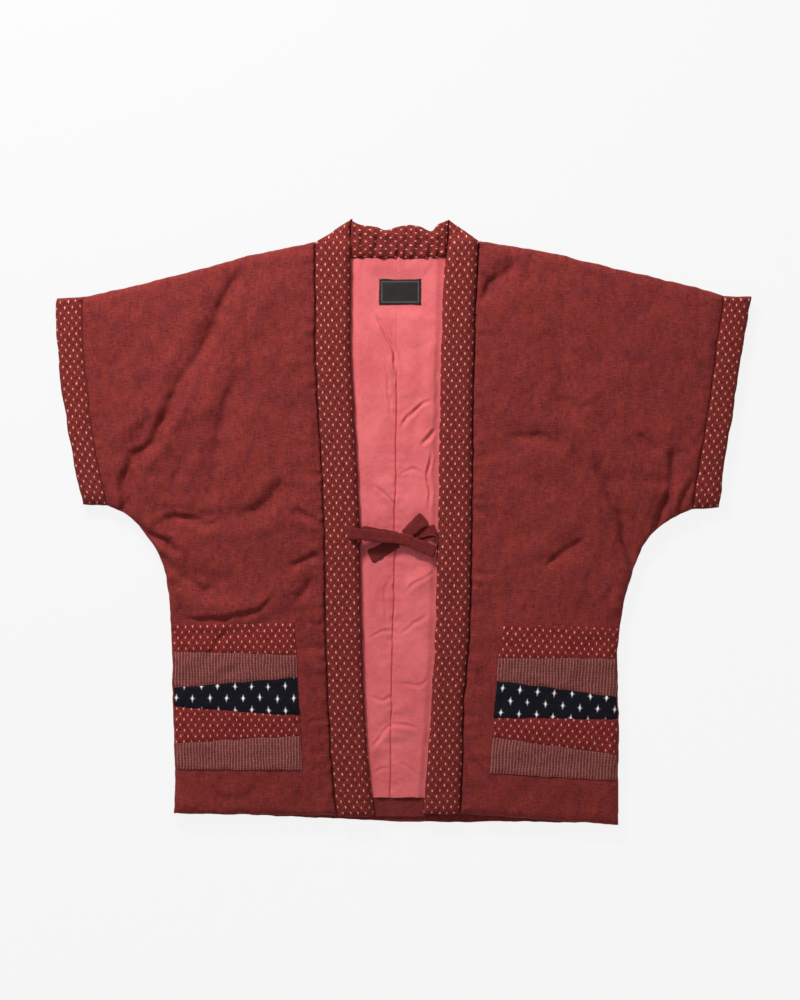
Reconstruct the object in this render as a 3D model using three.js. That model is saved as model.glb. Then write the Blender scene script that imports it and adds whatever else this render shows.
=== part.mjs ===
// A hanten: a short-sleeved padded jacket, lying flat on its back with the front up.
// Millimetres. +X is the wearer's left, +Y is toward the neck, +Z is up from the surface.
// Each padded layer is a solid between two height surfaces over its own cut, seen from above.

import * as THREE from 'three';

// Heights of the layers above the surface, from the bottom up
const SEAM_GAP = 0.3;
const BACK_TOP = 7;
const RIM_TOP = 8.5;
const RIM_REACH = 28;
const LINING_TOP = RIM_TOP;
const FRONT_UNDER = RIM_TOP + SEAM_GAP;
const FRONT_TOP = 17;
const FRONT_CROWN = 2.4;
const CROWN_REACH = 70;
const SEAM_VALLEY = 13;
const THINNEST = 1.2;

// Rolled edges: how far in each edge starts to round, and how far it drops or lifts
const SIDE_ROLL = { reach: 14, drop: 6 };
const HEM_ROLL = { reach: 11, drop: 4.5 };
const SEAM_ROLL = { reach: 12, drop: FRONT_TOP - SEAM_VALLEY };
const BACK_EDGE = { reach: 10, lift: 4.5 };
const BACK_HEM = { reach: 9, drop: 2 };
const BACK_HEM_LIFT = { reach: 10, lift: 2.7 };
const HEM_LIFT = { reach: 7, lift: 1 };

// Collar band
const COLLAR_TOP = 21;
const COLLAR_ROLL = { reach: 12, drop: COLLAR_TOP - SEAM_VALLEY };
const COLLAR_FOLD_LIFT = { reach: 8, lift: 2 };
const COLLAR_DROOP = { start: 10, slope: 0.4, most: 7 };
const NECK_BAND = { top: 14, seamTop: 9.6, foldDrop: 7, foldLift: 3.5, reach: 12 };
const NECK_TUCK = { reach: 8, drop: 4.5 };
const NECK_GATHERS = { count: 9, height: 0.9 };

// Thin pieces
const POCKET_THICK = 1.6;
const POCKET_SEAM_DIP = 0.5;
const LINING_UNDER_COLLAR = 14;
const RIDGE_FADE = { collar: { start: 3, reach: 8 }, label: { start: 4, reach: 10 } };
const LINING_GRID = { rows: 24, columns: 5 };
const FACING_GRID = { rows: 2, columns: 3 };
const FACING_TOP_Y = -344;
const FACING_HEM_Y = -368;
const LABEL_THICK = 0.7;
const TIE = { width: 14, knotWidth: 8.5, thick: 2, bevel: 1.1, flare: 0.25 };
const LOOP_RISE = 3;

// Distances in from an outer edge at which a panel has its last columns
const FRONT_COLUMNS = 14;
const EDGE_COLUMNS = [10, 5, 2, 0];

// How late along the hem's row it turns from the hem line to the side seam's end
const HEM_BLEND = 4;

// The back keeps this many rows at each end, and every second one between them
const BACK_END_ROWS = 3;

// The cuff: the height of its middle, the slit through it, and its sections from seam to mouth.
// front and back are shares of the half thickness, slit is a share of the slit's half width.
const CUFF = { middle: 8.2, slit: 0.7, slitInset: 0.035, alongCount: 14 };
const CUFF_PROFILE = [
  { across: 0, front: 0.66, back: 1, slit: 1 },
  { across: 0.13, front: 0.92, back: 1, slit: 1 },
  { across: 0.4, front: 1, back: 1, slit: 1 },
  { across: 0.72, front: 0.98, back: 1, slit: 1.2 },
  { across: 0.92, front: 0.84, back: 0.8, slit: 1.6 },
  { across: 1, front: 0.5, back: 0.5, slit: 2 },
];

const COLOURS = {
  shell: { color: 0x7f332f, roughness: 0.92 },
  lining: { color: 0xdd6d70, roughness: 0.85 },
  facing: { color: 0x662929, roughness: 0.92 },
  dots: { color: 0x7d3834, roughness: 0.9 },
  check: { color: 0x733f3c, roughness: 0.9 },
  crosses: { color: 0x15141c, roughness: 0.9 },
  ties: { color: 0x712a27, roughness: 0.92 },
  label: { color: 0x1c1818, roughness: 0.8 },
};

// Cross lines of each half, hem to shoulder. seamY is where the line meets the collar seam,
// edge is where it meets the side seam, the underarm or the cuff seam, and mouth is where it
// would reach the sleeve's open end. steps is how many rows fill the stretch up to the next line.
const CROSS_LINES = {
  right: [
    { at: 'hem', seamY: -366, edge: [-287, -364], steps: 1 },
    { at: 'hem roll', seamY: -354, edge: [-286, -351], steps: 2 },
    { at: 'pocket hem', seamY: -309, edge: [-285.5, -308], steps: 2 },
    { at: 'pocket seam 4', seamY: -264, edge: [-286.5, -275], steps: 2 },
    { at: 'pocket seam 3', seamY: -244, edge: [-288, -230], steps: 2 },
    { at: 'pocket seam 2', seamY: -190, edge: [-288.5, -207], steps: 2 },
    { at: 'pocket seam 1', seamY: -166, edge: [-289, -161], steps: 2 },
    { at: 'pocket top', seamY: -126, edge: [-290.5, -127], steps: 2 },
    { at: 'waist', seamY: -92, edge: [-292.5, -95], steps: 3 },
    { at: 'underarm low', seamY: -50, edge: [-301, -52], steps: 3 },
    { at: 'underarm middle', seamY: -6, edge: [-320, -18], steps: 2 },
    { at: 'underarm top', seamY: 29, edge: [-344, 8], steps: 2 },
    { at: 'cuff bottom', seamY: 62, edge: [-369, 20], mouth: [-400, 22], steps: 3 },
    { at: 'cuff low', seamY: 115, edge: [-383, 80], mouth: [-412, 80], steps: 3 },
    { at: 'cuff middle', seamY: 178, edge: [-392, 138], mouth: [-422, 138], steps: 4 },
    { at: 'cuff high', seamY: 259, edge: [-399, 212], mouth: [-431, 212], steps: 3 },
    { at: 'shoulder roll', seamY: 334, edge: [-401, 268], mouth: [-434, 265], steps: 2 },
    { at: 'shoulder', seamY: 350, edge: [-401, 281], mouth: [-433, 279], steps: 0 },
  ],
  left: [
    { at: 'hem', seamY: -364, edge: [268, -378], steps: 1 },
    { at: 'hem roll', seamY: -351, edge: [268, -364], steps: 2 },
    { at: 'pocket hem', seamY: -310, edge: [268, -323], steps: 2 },
    { at: 'pocket seam 4', seamY: -263, edge: [268.5, -290], steps: 2 },
    { at: 'pocket seam 3', seamY: -243.5, edge: [269, -246], steps: 2 },
    { at: 'pocket seam 2', seamY: -193, edge: [268, -218], steps: 2 },
    { at: 'pocket seam 1', seamY: -169, edge: [267, -170], steps: 2 },
    { at: 'pocket top', seamY: -125, edge: [270, -133], steps: 2 },
    { at: 'waist', seamY: -95, edge: [275, -104], steps: 3 },
    { at: 'underarm low', seamY: -54, edge: [287, -60], steps: 3 },
    { at: 'underarm middle', seamY: -10, edge: [304, -22], steps: 2 },
    { at: 'underarm top', seamY: 28, edge: [336, 5], steps: 2 },
    { at: 'cuff bottom', seamY: 59, edge: [360, 16], mouth: [394, 18], steps: 3 },
    { at: 'cuff low', seamY: 115, edge: [371, 82], mouth: [402, 82], steps: 3 },
    { at: 'cuff middle', seamY: 178, edge: [382, 150], mouth: [413, 146], steps: 4 },
    { at: 'cuff high', seamY: 259, edge: [391, 219], mouth: [422, 215], steps: 3 },
    { at: 'shoulder roll', seamY: 334, edge: [398, 269], mouth: [431, 266], steps: 2 },
    { at: 'shoulder', seamY: 351, edge: [399, 283], mouth: [434, 281], steps: 0 },
  ],
};

// The top edge of the back, from cuff seam to cuff seam: shoulders and the curved neckline
const TOP_EDGE = [
  { x: -401, y: 281 },
  { x: -348, y: 292 },
  { x: -283, y: 308 },
  { x: -192, y: 333 },
  { x: -110, y: 350 },
  { x: -92, y: 334 },
  { x: -73, y: 329 },
  { x: -57, y: 328 },
  { x: 46, y: 328 },
  { x: 58, y: 331 },
  { x: 74, y: 338 },
  { x: 95, y: 351 },
  { x: 176, y: 338 },
  { x: 242, y: 322 },
  { x: 366, y: 293 },
  { x: 399, y: 283 },
];

// The shoulders end at the neckline, this far from the middle, and the neckline's level stretch
const SHOULDER_POINT_X = 95;
const NECKLINE_Y = 328;

// The back's hem, which shows below the fronts between the side seams
const BACK_HEM_LINE = [
  { x: -287, y: -364 },
  { x: -192, y: -366 },
  { x: -79, y: -371 },
  { x: -4, y: -375 },
  { x: 227, y: -375 },
  { x: 268, y: -378 },
];

// The collar strips, hem to shoulder: the seam with the front, and the folded inner edge.
// The last row's two ends lie at different heights, where the strip turns over the shoulder.
const COLLAR_LINES = {
  right: [
    { y: -367, seam: -83, fold: -36 },
    { y: -336, seam: -86, fold: -40 },
    { y: -286, seam: -91, fold: -45 },
    { y: -222, seam: -94, fold: -49 },
    { y: -98, seam: -98, fold: -53 },
    { y: -22, seam: -98, fold: -54 },
    { y: 52, seam: -101, fold: -57 },
    { y: 165, seam: -108, fold: -63 },
    { y: 224, seam: -110, fold: -66 },
    { y: 325, seam: -110, fold: -66 },
    { y: 349, foldY: 379, seam: -110, fold: -64 },
  ],
  left: [
    { y: -364, seam: 71, fold: 25 },
    { y: -336, seam: 72, fold: 27 },
    { y: -286, seam: 74, fold: 31 },
    { y: -222, seam: 75, fold: 35 },
    { y: -160, seam: 81, fold: 39 },
    { y: -98, seam: 84, fold: 41 },
    { y: 52, seam: 86, fold: 44 },
    { y: 165, seam: 87, fold: 46 },
    { y: 284, seam: 90, fold: 49 },
    { y: 325, seam: 93, fold: 52 },
    { y: 350, foldY: 378, seam: 95, fold: 56 },
  ],
};
const COLLAR_ROW_SPACING = 34;
const COLLAR_TURN_ROWS = 4;
const COLLAR_COLUMNS = 7;

// The band across the back of the neck, with the two dips of its gathered top edge
const NECK_LINES = [
  { seamX: -65.5, foldX: -63.8, seamY: 329, foldY: 376 },
  { seamX: -57, foldX: -55.5, seamY: 328.6, foldY: 372.5 },
  { seamX: -36, foldX: -34, seamY: 328.4, foldY: 369 },
  { seamX: -22, foldX: -22, seamY: 328.4, foldY: 365 },
  { seamX: -4, foldX: -4, seamY: 328.4, foldY: 370 },
  { seamX: 21, foldX: 21, seamY: 328.4, foldY: 370 },
  { seamX: 34, foldX: 34, seamY: 328.4, foldY: 364 },
  { seamX: 43, foldX: 43, seamY: 328.8, foldY: 372 },
  { seamX: 52.1, foldX: 55.5, seamY: 330.5, foldY: 377 },
];
const NECK_ROWS = 27;
const NECK_COLUMNS = 5;

// The centre seam of the back and its lining
const CENTRE_SEAM = [
  { y: -375, x: -17 },
  { y: 150, x: -8 },
  { y: 328, x: -8 },
];

// The inner edge of each pocket. Its strips lie between the pocket's cross lines above.
const POCKET_INNER = {
  right: [
    { y: -309, x: -126 },
    { y: -126, x: -136 },
  ],
  left: [
    { y: -312, x: 108 },
    { y: -169, x: 118 },
    { y: -126, x: 125 },
  ],
};
// The cloths of the pocket's strips, from its hem up
const POCKET_CLOTHS = ['check', 'dots', 'crosses', 'check', 'dots'];
const POCKET_FIRST_COLUMN = 3;

// Creases pressed into the fronts. Each runs from, bowed toward bend, to its other end.
const FRONT_FOLDS = {
  right: [
    { name: 'cuff sweep', from: [-348, 21], bend: [-350, 95], to: [-296, 140], width: 13, depth: 4.4 },
    { name: 'sleeve sweep', from: [-305, 128], bend: [-250, 225], to: [-191, 328], width: 13, depth: 3.6 },
    { name: 'armhole', from: [-197, 199], bend: [-236, 120], to: [-251, 0], width: 13, depth: 3 },
    { name: 'underarm', from: [-311, -1], bend: [-265, 14], to: [-224, 0], width: 11, depth: 2.8 },
    { name: 'chest', from: [-197, 10], bend: [-168, 16], to: [-147, 59], width: 11, depth: 2.6 },
    { name: 'side', from: [-288, -47], bend: [-240, -92], to: [-194, -60], width: 12, depth: 2.8 },
    { name: 'pocket mouth', from: [-276, -106], bend: [-185, -118], to: [-157, -80], width: 11, depth: -2.6 },
    { name: 'front low', from: [-106, -62], bend: [-124, -80], to: [-136, -104], width: 10, depth: 2.4 },
    { name: 'front high', from: [-105, -35], bend: [-124, -52], to: [-146, -55], width: 10, depth: 2.2 },
  ],
  left: [
    { name: 'shoulder', from: [98, 268], bend: [105, 303], to: [146, 330], width: 12, depth: 3.2 },
    { name: 'chest sweep', from: [175, 239], bend: [208, 180], to: [200, 115], width: 13, depth: 3 },
    { name: 'chest cross', from: [118, 105], bend: [178, 110], to: [214, 92], width: 12, depth: 2.6 },
    { name: 'armhole', from: [234, 87], bend: [275, 20], to: [286, -54], width: 12, depth: 4.2 },
    { name: 'sleeve high', from: [288, 108], bend: [304, 100], to: [318, 85], width: 11, depth: 2.4 },
    { name: 'sleeve low', from: [336, 95], bend: [338, 72], to: [335, 50], width: 11, depth: 2.6 },
    { name: 'underarm', from: [334, 40], bend: [318, 18], to: [318, -8], width: 10, depth: 3.2 },
    { name: 'waist', from: [230, -22], bend: [192, -34], to: [174, -62], width: 12, depth: 2.8 },
  ],
};

// Ridges of slack in the lining
const LINING_FOLDS = [
  { name: 'upper left ridge', from: [-42, 262], bend: [-22, 225], to: [-10, 176], width: 7, depth: -1.5 },
  { name: 'upper right ridge', from: [40, 246], bend: [32, 150], to: [28, 40], width: 8, depth: -1.5 },
  { name: 'middle ridge', from: [-38, 60], bend: [-20, 40], to: [-8, 18], width: 7, depth: -1.3 },
  { name: 'low ridge', from: [-40, -294], bend: [-14, -250], to: [18, -262], width: 9, depth: -1.5 },
  { name: 'low cross', from: [0, -82], bend: [18, -76], to: [36, -62], width: 8, depth: -1.3 },
];

// The bow. A run goes from the knot, by way of via, to its end. A loop doubles back over itself.
const KNOT = { at: [2.5, -21.5, 15], half: [9.5, 7.5, 6], squareness: 0.5 };
const TIE_RUNS = [
  { name: 'tie_right', from: [-7.4, -19.5, 13.2], via: [-30, -15.5, 13.2], to: [-52.2, -12, 12.2] },
  { name: 'tie_left', from: [12.4, -19, 13.2], via: [26, -14, 13.2], to: [39.9, -9, 12.2] },
  { name: 'tail_right', from: [-7.7, -25.4, 10.6], via: [-24, -34, 11.3], to: [-42, -43.5, 11.4] },
  { name: 'tail_left', from: [12.5, -10, 15.6], via: [20, -3, 15.9], to: [28, 5, 13.4] },
  {
    name: 'loop_right',
    loop: true,
    from: [-7.4, -20, 16.4],
    via: [-50, -16, 21.4],
    to: [-66, -13, 22.9],
  },
  {
    name: 'loop_left',
    loop: true,
    from: [13.6, -23.4, 16.4],
    via: [24, -29.4, 16],
    to: [34.6, -35.4, 15],
  },
];
const TIE_STEPS = 9;

// The blank label on the lining below the neck
const LABEL = { right: -30.5, left: 22, top: 303.5, bottom: 271.5 };

const clamp = (value, low, high) => Math.min(high, Math.max(low, value));
const mix = (a, b, t) => a + (b - a) * t;
const mixPoint = (a, b, t) => [mix(a[0], b[0], t), mix(a[1], b[1], t)];
const smooth = (t) => {
  const s = clamp(t, 0, 1);
  return s * s * (3 - 2 * s);
};

// How full a padded edge is at a distance in from it: 0 on the edge, 1 past its reach
const fullness = (distance, reach) => {
  const t = 1 - clamp(distance / reach, 0, 1);
  return Math.sqrt(1 - t * t);
};
const dropAt = (distance, roll) => roll.drop * (1 - fullness(distance, roll.reach));
const liftAt = (distance, roll) => roll.lift * (1 - fullness(distance, roll.reach));

// The value of one column of a table at a place along another
function lookUp(table, key, column, at) {
  let row = 0;
  while (row < table.length - 2 && at > table[row + 1][key]) row += 1;
  const a = table[row];
  const b = table[row + 1];
  const t = clamp((at - a[key]) / (b[key] - a[key]), 0, 1);
  return mix(a[column], b[column], t);
}

const topEdgeY = (x) => lookUp(TOP_EDGE, 'x', 'y', x);
const backHemY = (x) => lookUp(BACK_HEM_LINE, 'x', 'y', x);
const collarSeamX = (side, y) => lookUp(COLLAR_LINES[side], 'y', 'seam', y);
const collarFoldX = (side, y) => lookUp(COLLAR_LINES[side], 'y', 'fold', y);
const centreX = (y) => lookUp(CENTRE_SEAM, 'y', 'x', y);
const outward = (side) => (side === 'right' ? -1 : 1);

// The nearest point of a line of points: its distance, and how far along it lies
function nearest(line, x, y) {
  let best = { distance: Infinity, along: 0 };
  for (let i = 0; i < line.length - 1; i += 1) {
    const [ax, ay] = line[i];
    const dx = line[i + 1][0] - ax;
    const dy = line[i + 1][1] - ay;
    const t = clamp(((x - ax) * dx + (y - ay) * dy) / (dx * dx + dy * dy), 0, 1);
    const distance = Math.hypot(x - ax - dx * t, y - ay - dy * t);
    if (distance < best.distance) {
      best = { distance, along: (i + t) / (line.length - 1) };
    }
  }
  return best;
}

// A smooth line through named stations, with each stretch cut into its own number of steps
function fillLine(points, steps) {
  const curve = new THREE.CatmullRomCurve3(
    points.map(([x, y]) => new THREE.Vector3(x, y, 0)),
    false,
    'centripetal',
  );
  const filled = [];
  for (let i = 0; i < points.length - 1; i += 1) {
    for (let k = 0; k < steps[i]; k += 1) {
      const point = curve.getPoint((i + k / steps[i]) / (points.length - 1));
      filled.push([point.x, point.y]);
    }
  }
  filled.push(points[points.length - 1]);
  return filled;
}

function foldLine(fold) {
  const curve = new THREE.QuadraticBezierCurve(
    new THREE.Vector2(...fold.from),
    new THREE.Vector2(...fold.bend),
    new THREE.Vector2(...fold.to),
  );
  return curve.getPoints(10).map((point) => [point.x, point.y]);
}

// A trough with a soft lip on either side, fading out at both its ends
function foldHeight(folds, x, y) {
  const lipHeight = 0.4;
  const fadeRate = 4;
  let height = 0;
  for (const fold of folds) {
    const { distance, along } = nearest(fold.line, x, y);
    const q = distance / fold.width;
    const fade = smooth(fadeRate * along) * smooth(fadeRate * (1 - along));
    height -= fold.depth * fade * (Math.exp(-q * q) - lipHeight * Math.exp(-((q - 2) ** 2)));
  }
  return height;
}

const withLines = (folds) => folds.map((fold) => ({ ...fold, line: foldLine(fold) }));

// The outline of one half: its cross lines, its outer edge, its shoulder and its hems
function makeHalf(side) {
  const stations = CROSS_LINES[side];
  const steps = stations.map((row) => row.steps);
  const seamY = fillLine(stations.map((row, i) => [i, row.seamY]), steps).map((p) => p[1]);
  const last = stations.length - 1;
  const stationNamed = (name) => stations.findIndex((row) => row.at === name);
  const sleeveFrom = stationNamed('cuff bottom');
  const sumSteps = (end) => steps.slice(0, end).reduce((sum, n) => sum + n, 0);
  const ends = stations.map((row) => row.edge);
  const sideLine = fillLine(ends.slice(0, sleeveFrom + 1), steps);
  const cuffSeam = fillLine(ends.slice(sleeveFrom), steps.slice(sleeveFrom));
  const top = TOP_EDGE.filter((p) => Math.sign(p.x) === outward(side)).map((p) => [p.x, p.y]);
  return {
    side,
    stations,
    edge: [...sideLine, ...cuffSeam.slice(1)],
    seamY,
    topFadeFrom: sumSteps(last - 2),
    pocketRows: POCKET_CLOTHS.map((_, i) => sumSteps(stationNamed('pocket hem') + i)),
    pocketTopRow: sumSteps(stationNamed('pocket top')),
    sideLine,
    cuffSeam,
    shoulderLine: top.filter(([x]) => Math.abs(x) >= SHOULDER_POINT_X),
    folds: withLines(FRONT_FOLDS[side]),
  };
}

// The front's columns: one of them follows the pocket's inner edge, the rest are even
function frontShares(half, y, innerX, length) {
  const pocketX = lookUp(POCKET_INNER[half.side], 'y', 'x', y);
  const pocket = Math.abs(pocketX - innerX) / (length - EDGE_COLUMNS[0]);
  return Array.from({ length: FRONT_COLUMNS }, (_, i) => {
    if (i < POCKET_FIRST_COLUMN) return (pocket * i) / POCKET_FIRST_COLUMN;
    return mix(pocket, 1, (i - POCKET_FIRST_COLUMN) / (FRONT_COLUMNS - POCKET_FIRST_COLUMN));
  });
}

// The back's columns meet its top edge at the corners of the neckline and the shoulder
function topEdgeShares(half) {
  const start = centreX(half.seamY.at(-1));
  const end = half.edge.at(-1)[0];
  const reach = Math.abs(end - start) - EDGE_COLUMNS[0];
  const corners = TOP_EDGE.map((point) => (point.x - start) * outward(half.side));
  const inside = corners.filter((across) => across > 0 && across < reach - EDGE_COLUMNS[0]);
  return [0, ...inside.sort((a, b) => a - b).map((across) => across / reach)];
}

// Columns across a row: shares of its inner part, then those of the outer edge
function acrossFractions(length, shares) {
  const inner = length - EDGE_COLUMNS[0];
  const fractions = shares.map((share) => (inner * share) / length);
  return [...fractions, ...EDGE_COLUMNS.map((distance) => 1 - distance / length)];
}

// Plan points of a panel of one half, from its inner line out to its edge. The top row follows
// the shoulder and neckline, and the rows near it take up the difference.
function panelGrid(half, innerX, hemY, shares) {
  const rows = half.edge.length;
  const topY = half.seamY[rows - 1];
  return half.edge.map((outer, row) => {
    const y = row === 0 ? hemY(innerX(half.seamY[0])) : Math.min(half.seamY[row], topY);
    const inner = [innerX(y), y];
    const length = Math.hypot(outer[0] - inner[0], outer[1] - inner[1]);
    const share = clamp((row - half.topFadeFrom) / (rows - 1 - half.topFadeFrom), 0, 1);
    return acrossFractions(length, shares(y, inner[0], length)).map((fraction) => {
      const [x, straightY] = mixPoint(inner, outer, fraction);
      if (row === 0) return [x, mix(hemY(x), straightY, fraction ** HEM_BLEND)];
      const bowed = mix(topY, half.edge[rows - 1][1], fraction);
      return [x, straightY + (topEdgeY(x) - bowed) * share];
    });
  });
}

// Height of the front's outer face
function frontTop(half, x, y) {
  const side = nearest(half.sideLine, x, y).distance;
  const shoulder = nearest(half.shoulderLine, x, y).distance;
  const cuff = nearest(half.cuffSeam, x, y).distance;
  const hem = Math.max(0, y - frontHemY(half, x));
  const collar = Math.abs(x - collarSeamX(half.side, y));
  const drop = Math.max(
    dropAt(side, SIDE_ROLL),
    dropAt(shoulder, SIDE_ROLL),
    dropAt(hem, HEM_ROLL),
    dropAt(cuff, SEAM_ROLL),
    dropAt(collar, SEAM_ROLL),
  );
  const inside = Math.min(side, shoulder, cuff, hem, collar);
  const crown = FRONT_CROWN * smooth(inside / CROWN_REACH);
  const creases = foldHeight(half.folds, x, y) * smooth(inside / SIDE_ROLL.reach);
  return Math.max(FRONT_TOP - drop + crown + creases, FRONT_UNDER + HEM_LIFT.lift + THINNEST);
}

function frontHemY(half, x) {
  const hem = half.stations[0];
  const t = (x - collarSeamX(half.side, hem.seamY)) / (hem.edge[0] - collarSeamX(half.side, hem.seamY));
  return mix(hem.seamY, hem.edge[1], t);
}

const frontUnder = (half, x, y) => {
  const hem = Math.max(0, y - frontHemY(half, x));
  return FRONT_UNDER + liftAt(hem, HEM_LIFT);
};

function backTop(half, x, y) {
  const seam = Math.min(
    nearest(half.edge, x, y).distance,
    nearest(half.shoulderLine, x, y).distance,
  );
  const hem = Math.max(0, y - backHemY(x));
  const rim = (RIM_TOP - BACK_TOP) * (1 - smooth(seam / RIM_REACH));
  return BACK_TOP + rim - dropAt(hem, BACK_HEM) * smooth(seam / RIM_REACH);
}

function backUnder(half, x, y) {
  const seam = Math.min(
    nearest(half.sideLine, x, y).distance,
    nearest(half.shoulderLine, x, y).distance,
  );
  const hem = Math.max(0, y - backHemY(x));
  return Math.max(liftAt(seam, BACK_EDGE), liftAt(hem, BACK_HEM_LIFT));
}

// A closed mesh from points and faces, turned so that its faces point out
function closedMesh(name, cloth, points, faces) {
  let volume = 0;
  for (const [a, b, c] of faces) {
    const [p, q, r] = [points[a], points[b], points[c]];
    volume += p[0] * (q[1] * r[2] - q[2] * r[1]);
    volume += p[1] * (q[2] * r[0] - q[0] * r[2]);
    volume += p[2] * (q[0] * r[1] - q[1] * r[0]);
  }
  const turned = volume < 0 ? faces.map(([a, b, c]) => [a, c, b]) : faces;
  const geometry = new THREE.BufferGeometry();
  geometry.setAttribute('position', new THREE.Float32BufferAttribute(points.flat(), 3));
  geometry.setIndex(turned.flat());
  geometry.computeVertexNormals();
  const mesh = new THREE.Mesh(geometry, new THREE.MeshStandardMaterial(COLOURS[cloth]));
  mesh.name = name;
  return mesh;
}

// A layer of cloth: a solid over a grid of plan points, between an under and an over surface
function layer(name, cloth, grid, under, over) {
  const rows = grid.length;
  const columns = grid[0].length;
  const points = [];
  for (const surface of [under, over]) {
    for (const row of grid) {
      for (const [x, y] of row) {
        points.push([x, y, surface(x, y)]);
      }
    }
  }
  const at = (level, row, column) => (level * rows + row) * columns + column;
  const faces = [];
  const quad = (a, b, c, d) => faces.push([a, b, c], [a, c, d]);
  for (let r = 0; r < rows - 1; r += 1) {
    for (let c = 0; c < columns - 1; c += 1) {
      quad(at(0, r, c), at(0, r, c + 1), at(0, r + 1, c + 1), at(0, r + 1, c));
      quad(at(1, r, c), at(1, r + 1, c), at(1, r + 1, c + 1), at(1, r, c + 1));
    }
  }
  const wall = (r0, c0, r1, c1) => quad(at(0, r0, c0), at(1, r0, c0), at(1, r1, c1), at(0, r1, c1));
  for (let c = 0; c < columns - 1; c += 1) {
    wall(0, c, 0, c + 1);
    wall(rows - 1, c + 1, rows - 1, c);
  }
  for (let r = 0; r < rows - 1; r += 1) {
    wall(r + 1, 0, r, 0);
    wall(r, columns - 1, r + 1, columns - 1);
  }
  return closedMesh(name, cloth, points, faces);
}

// A ring swept along stations, each a loop of outer points and a loop of inner points
function sweptRing(name, cloth, stations) {
  const around = stations[0].outer.length;
  const points = [];
  for (const station of stations) {
    points.push(...station.outer, ...station.inner);
  }
  const at = (station, inner, k) => (station * 2 + inner) * around + (k % around);
  const faces = [];
  const quad = (a, b, c, d) => faces.push([a, b, c], [a, c, d]);
  const last = stations.length - 1;
  for (let k = 0; k < around; k += 1) {
    for (let s = 0; s < last; s += 1) {
      quad(at(s, 0, k), at(s, 0, k + 1), at(s + 1, 0, k + 1), at(s + 1, 0, k));
      quad(at(s, 1, k), at(s + 1, 1, k), at(s + 1, 1, k + 1), at(s, 1, k + 1));
    }
    quad(at(0, 0, k), at(0, 1, k), at(0, 1, k + 1), at(0, 0, k + 1));
    quad(at(last, 0, k), at(last, 0, k + 1), at(last, 1, k + 1), at(last, 1, k));
  }
  return closedMesh(name, cloth, points, faces);
}

function makeFront(half) {
  const inner = (y) => collarSeamX(half.side, y) + outward(half.side) * SEAM_GAP;
  const shares = (y, innerX, length) => frontShares(half, y, innerX, length);
  half.frontGrid = panelGrid(half, inner, (x) => frontHemY(half, x), shares);
  return layer(
    `front_${half.side}`,
    'shell',
    half.frontGrid,
    (x, y) => frontUnder(half, x, y),
    (x, y) => frontTop(half, x, y),
  );
}

function makeBack(half) {
  const inner = (y) => centreX(y) + (outward(half.side) * SEAM_GAP) / 2;
  const shares = topEdgeShares(half);
  const grid = panelGrid(half, inner, backHemY, () => shares).filter((row, i, all) => {
    const nearEnd = i < BACK_END_ROWS || i >= all.length - BACK_END_ROWS;
    return nearEnd || i % 2 === 0;
  });
  return layer(
    `back_${half.side}`,
    'shell',
    grid,
    (x, y) => backUnder(half, x, y),
    (x, y) => backTop(half, x, y),
  );
}

// The cuff: a flattened band with a slit through it, from the sleeve's end to the open mouth
function makeCuff(half) {
  const { middle, slit, slitInset, alongCount } = CUFF;
  const rows = half.stations.filter((row) => row.mouth);
  const seam = half.cuffSeam;
  const mouth = fillLine(rows.map((row) => row.mouth), rows.map((row) => row.steps));
  const length = Math.hypot(seam[0][0] - seam.at(-1)[0], seam[0][1] - seam.at(-1)[1]);
  const place = (line, q) => {
    const at = clamp(q, 0, 1) * (line.length - 1);
    const i = Math.min(Math.floor(at), line.length - 2);
    return mixPoint(line[i], line[i + 1], at - i);
  };
  const clearX = outward(half.side) * SEAM_GAP;
  const stations = CUFF_PROFILE.map((section) => {
    const outer = [];
    const inner = [];
    for (let k = 0; k < alongCount * 2; k += 1) {
      const front = k <= alongCount;
      const turn = front ? k / alongCount : 2 - k / alongCount;
      const q = 0.5 - 0.5 * Math.cos(Math.PI * turn);
      const round = fullness(Math.min(q, 1 - q) * length, SIDE_ROLL.reach);
      const full = front ? section.front : -section.back;
      const slitQ = slitInset + (1 - 2 * slitInset) * q;
      const spread = (front ? slit : -slit) * section.slit * Math.sin(Math.PI * q);
      const at = mixPoint(place(seam, q), place(mouth, q), section.across);
      const within = mixPoint(place(seam, slitQ), place(mouth, slitQ), section.across);
      outer.push([at[0] + clearX, at[1], middle + middle * full * round]);
      inner.push([within[0] + clearX, within[1], middle + spread]);
    }
    return { outer, inner };
  });
  return sweptRing(`cuff_${half.side}`, 'dots', stations);
}

// Rows along a collar strip, each with its seam point and its fold point
function collarGrid(side) {
  const table = COLLAR_LINES[side];
  const last = table.length - 1;
  const heights = [table[0].y, table[0].y + HEM_ROLL.reach / 3];
  for (let i = 1; i <= last; i += 1) {
    const rise = table[i].y - heights.at(-1);
    const steps = i === last ? COLLAR_TURN_ROWS : Math.ceil(rise / COLLAR_ROW_SPACING);
    const from = heights.at(-1);
    for (let k = 1; k <= steps; k += 1) {
      heights.push(from + (rise * k) / steps);
    }
  }
  const grid = [];
  for (const y of heights) {
    const lastPart = clamp((y - table[last - 1].y) / (table[last].y - table[last - 1].y), 0, 1);
    const foldY = y + (table[last].foldY - table[last].y) * lastPart;
    const seam = [collarSeamX(side, y), y];
    const fold = [collarFoldX(side, y), foldY];
    const row = [];
    for (let c = 0; c <= COLLAR_COLUMNS; c += 1) {
      const s = 0.5 - 0.5 * Math.cos((Math.PI * c) / COLLAR_COLUMNS);
      row.push(mixPoint(seam, fold, s));
    }
    grid.push(row);
  }
  return grid;
}

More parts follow.
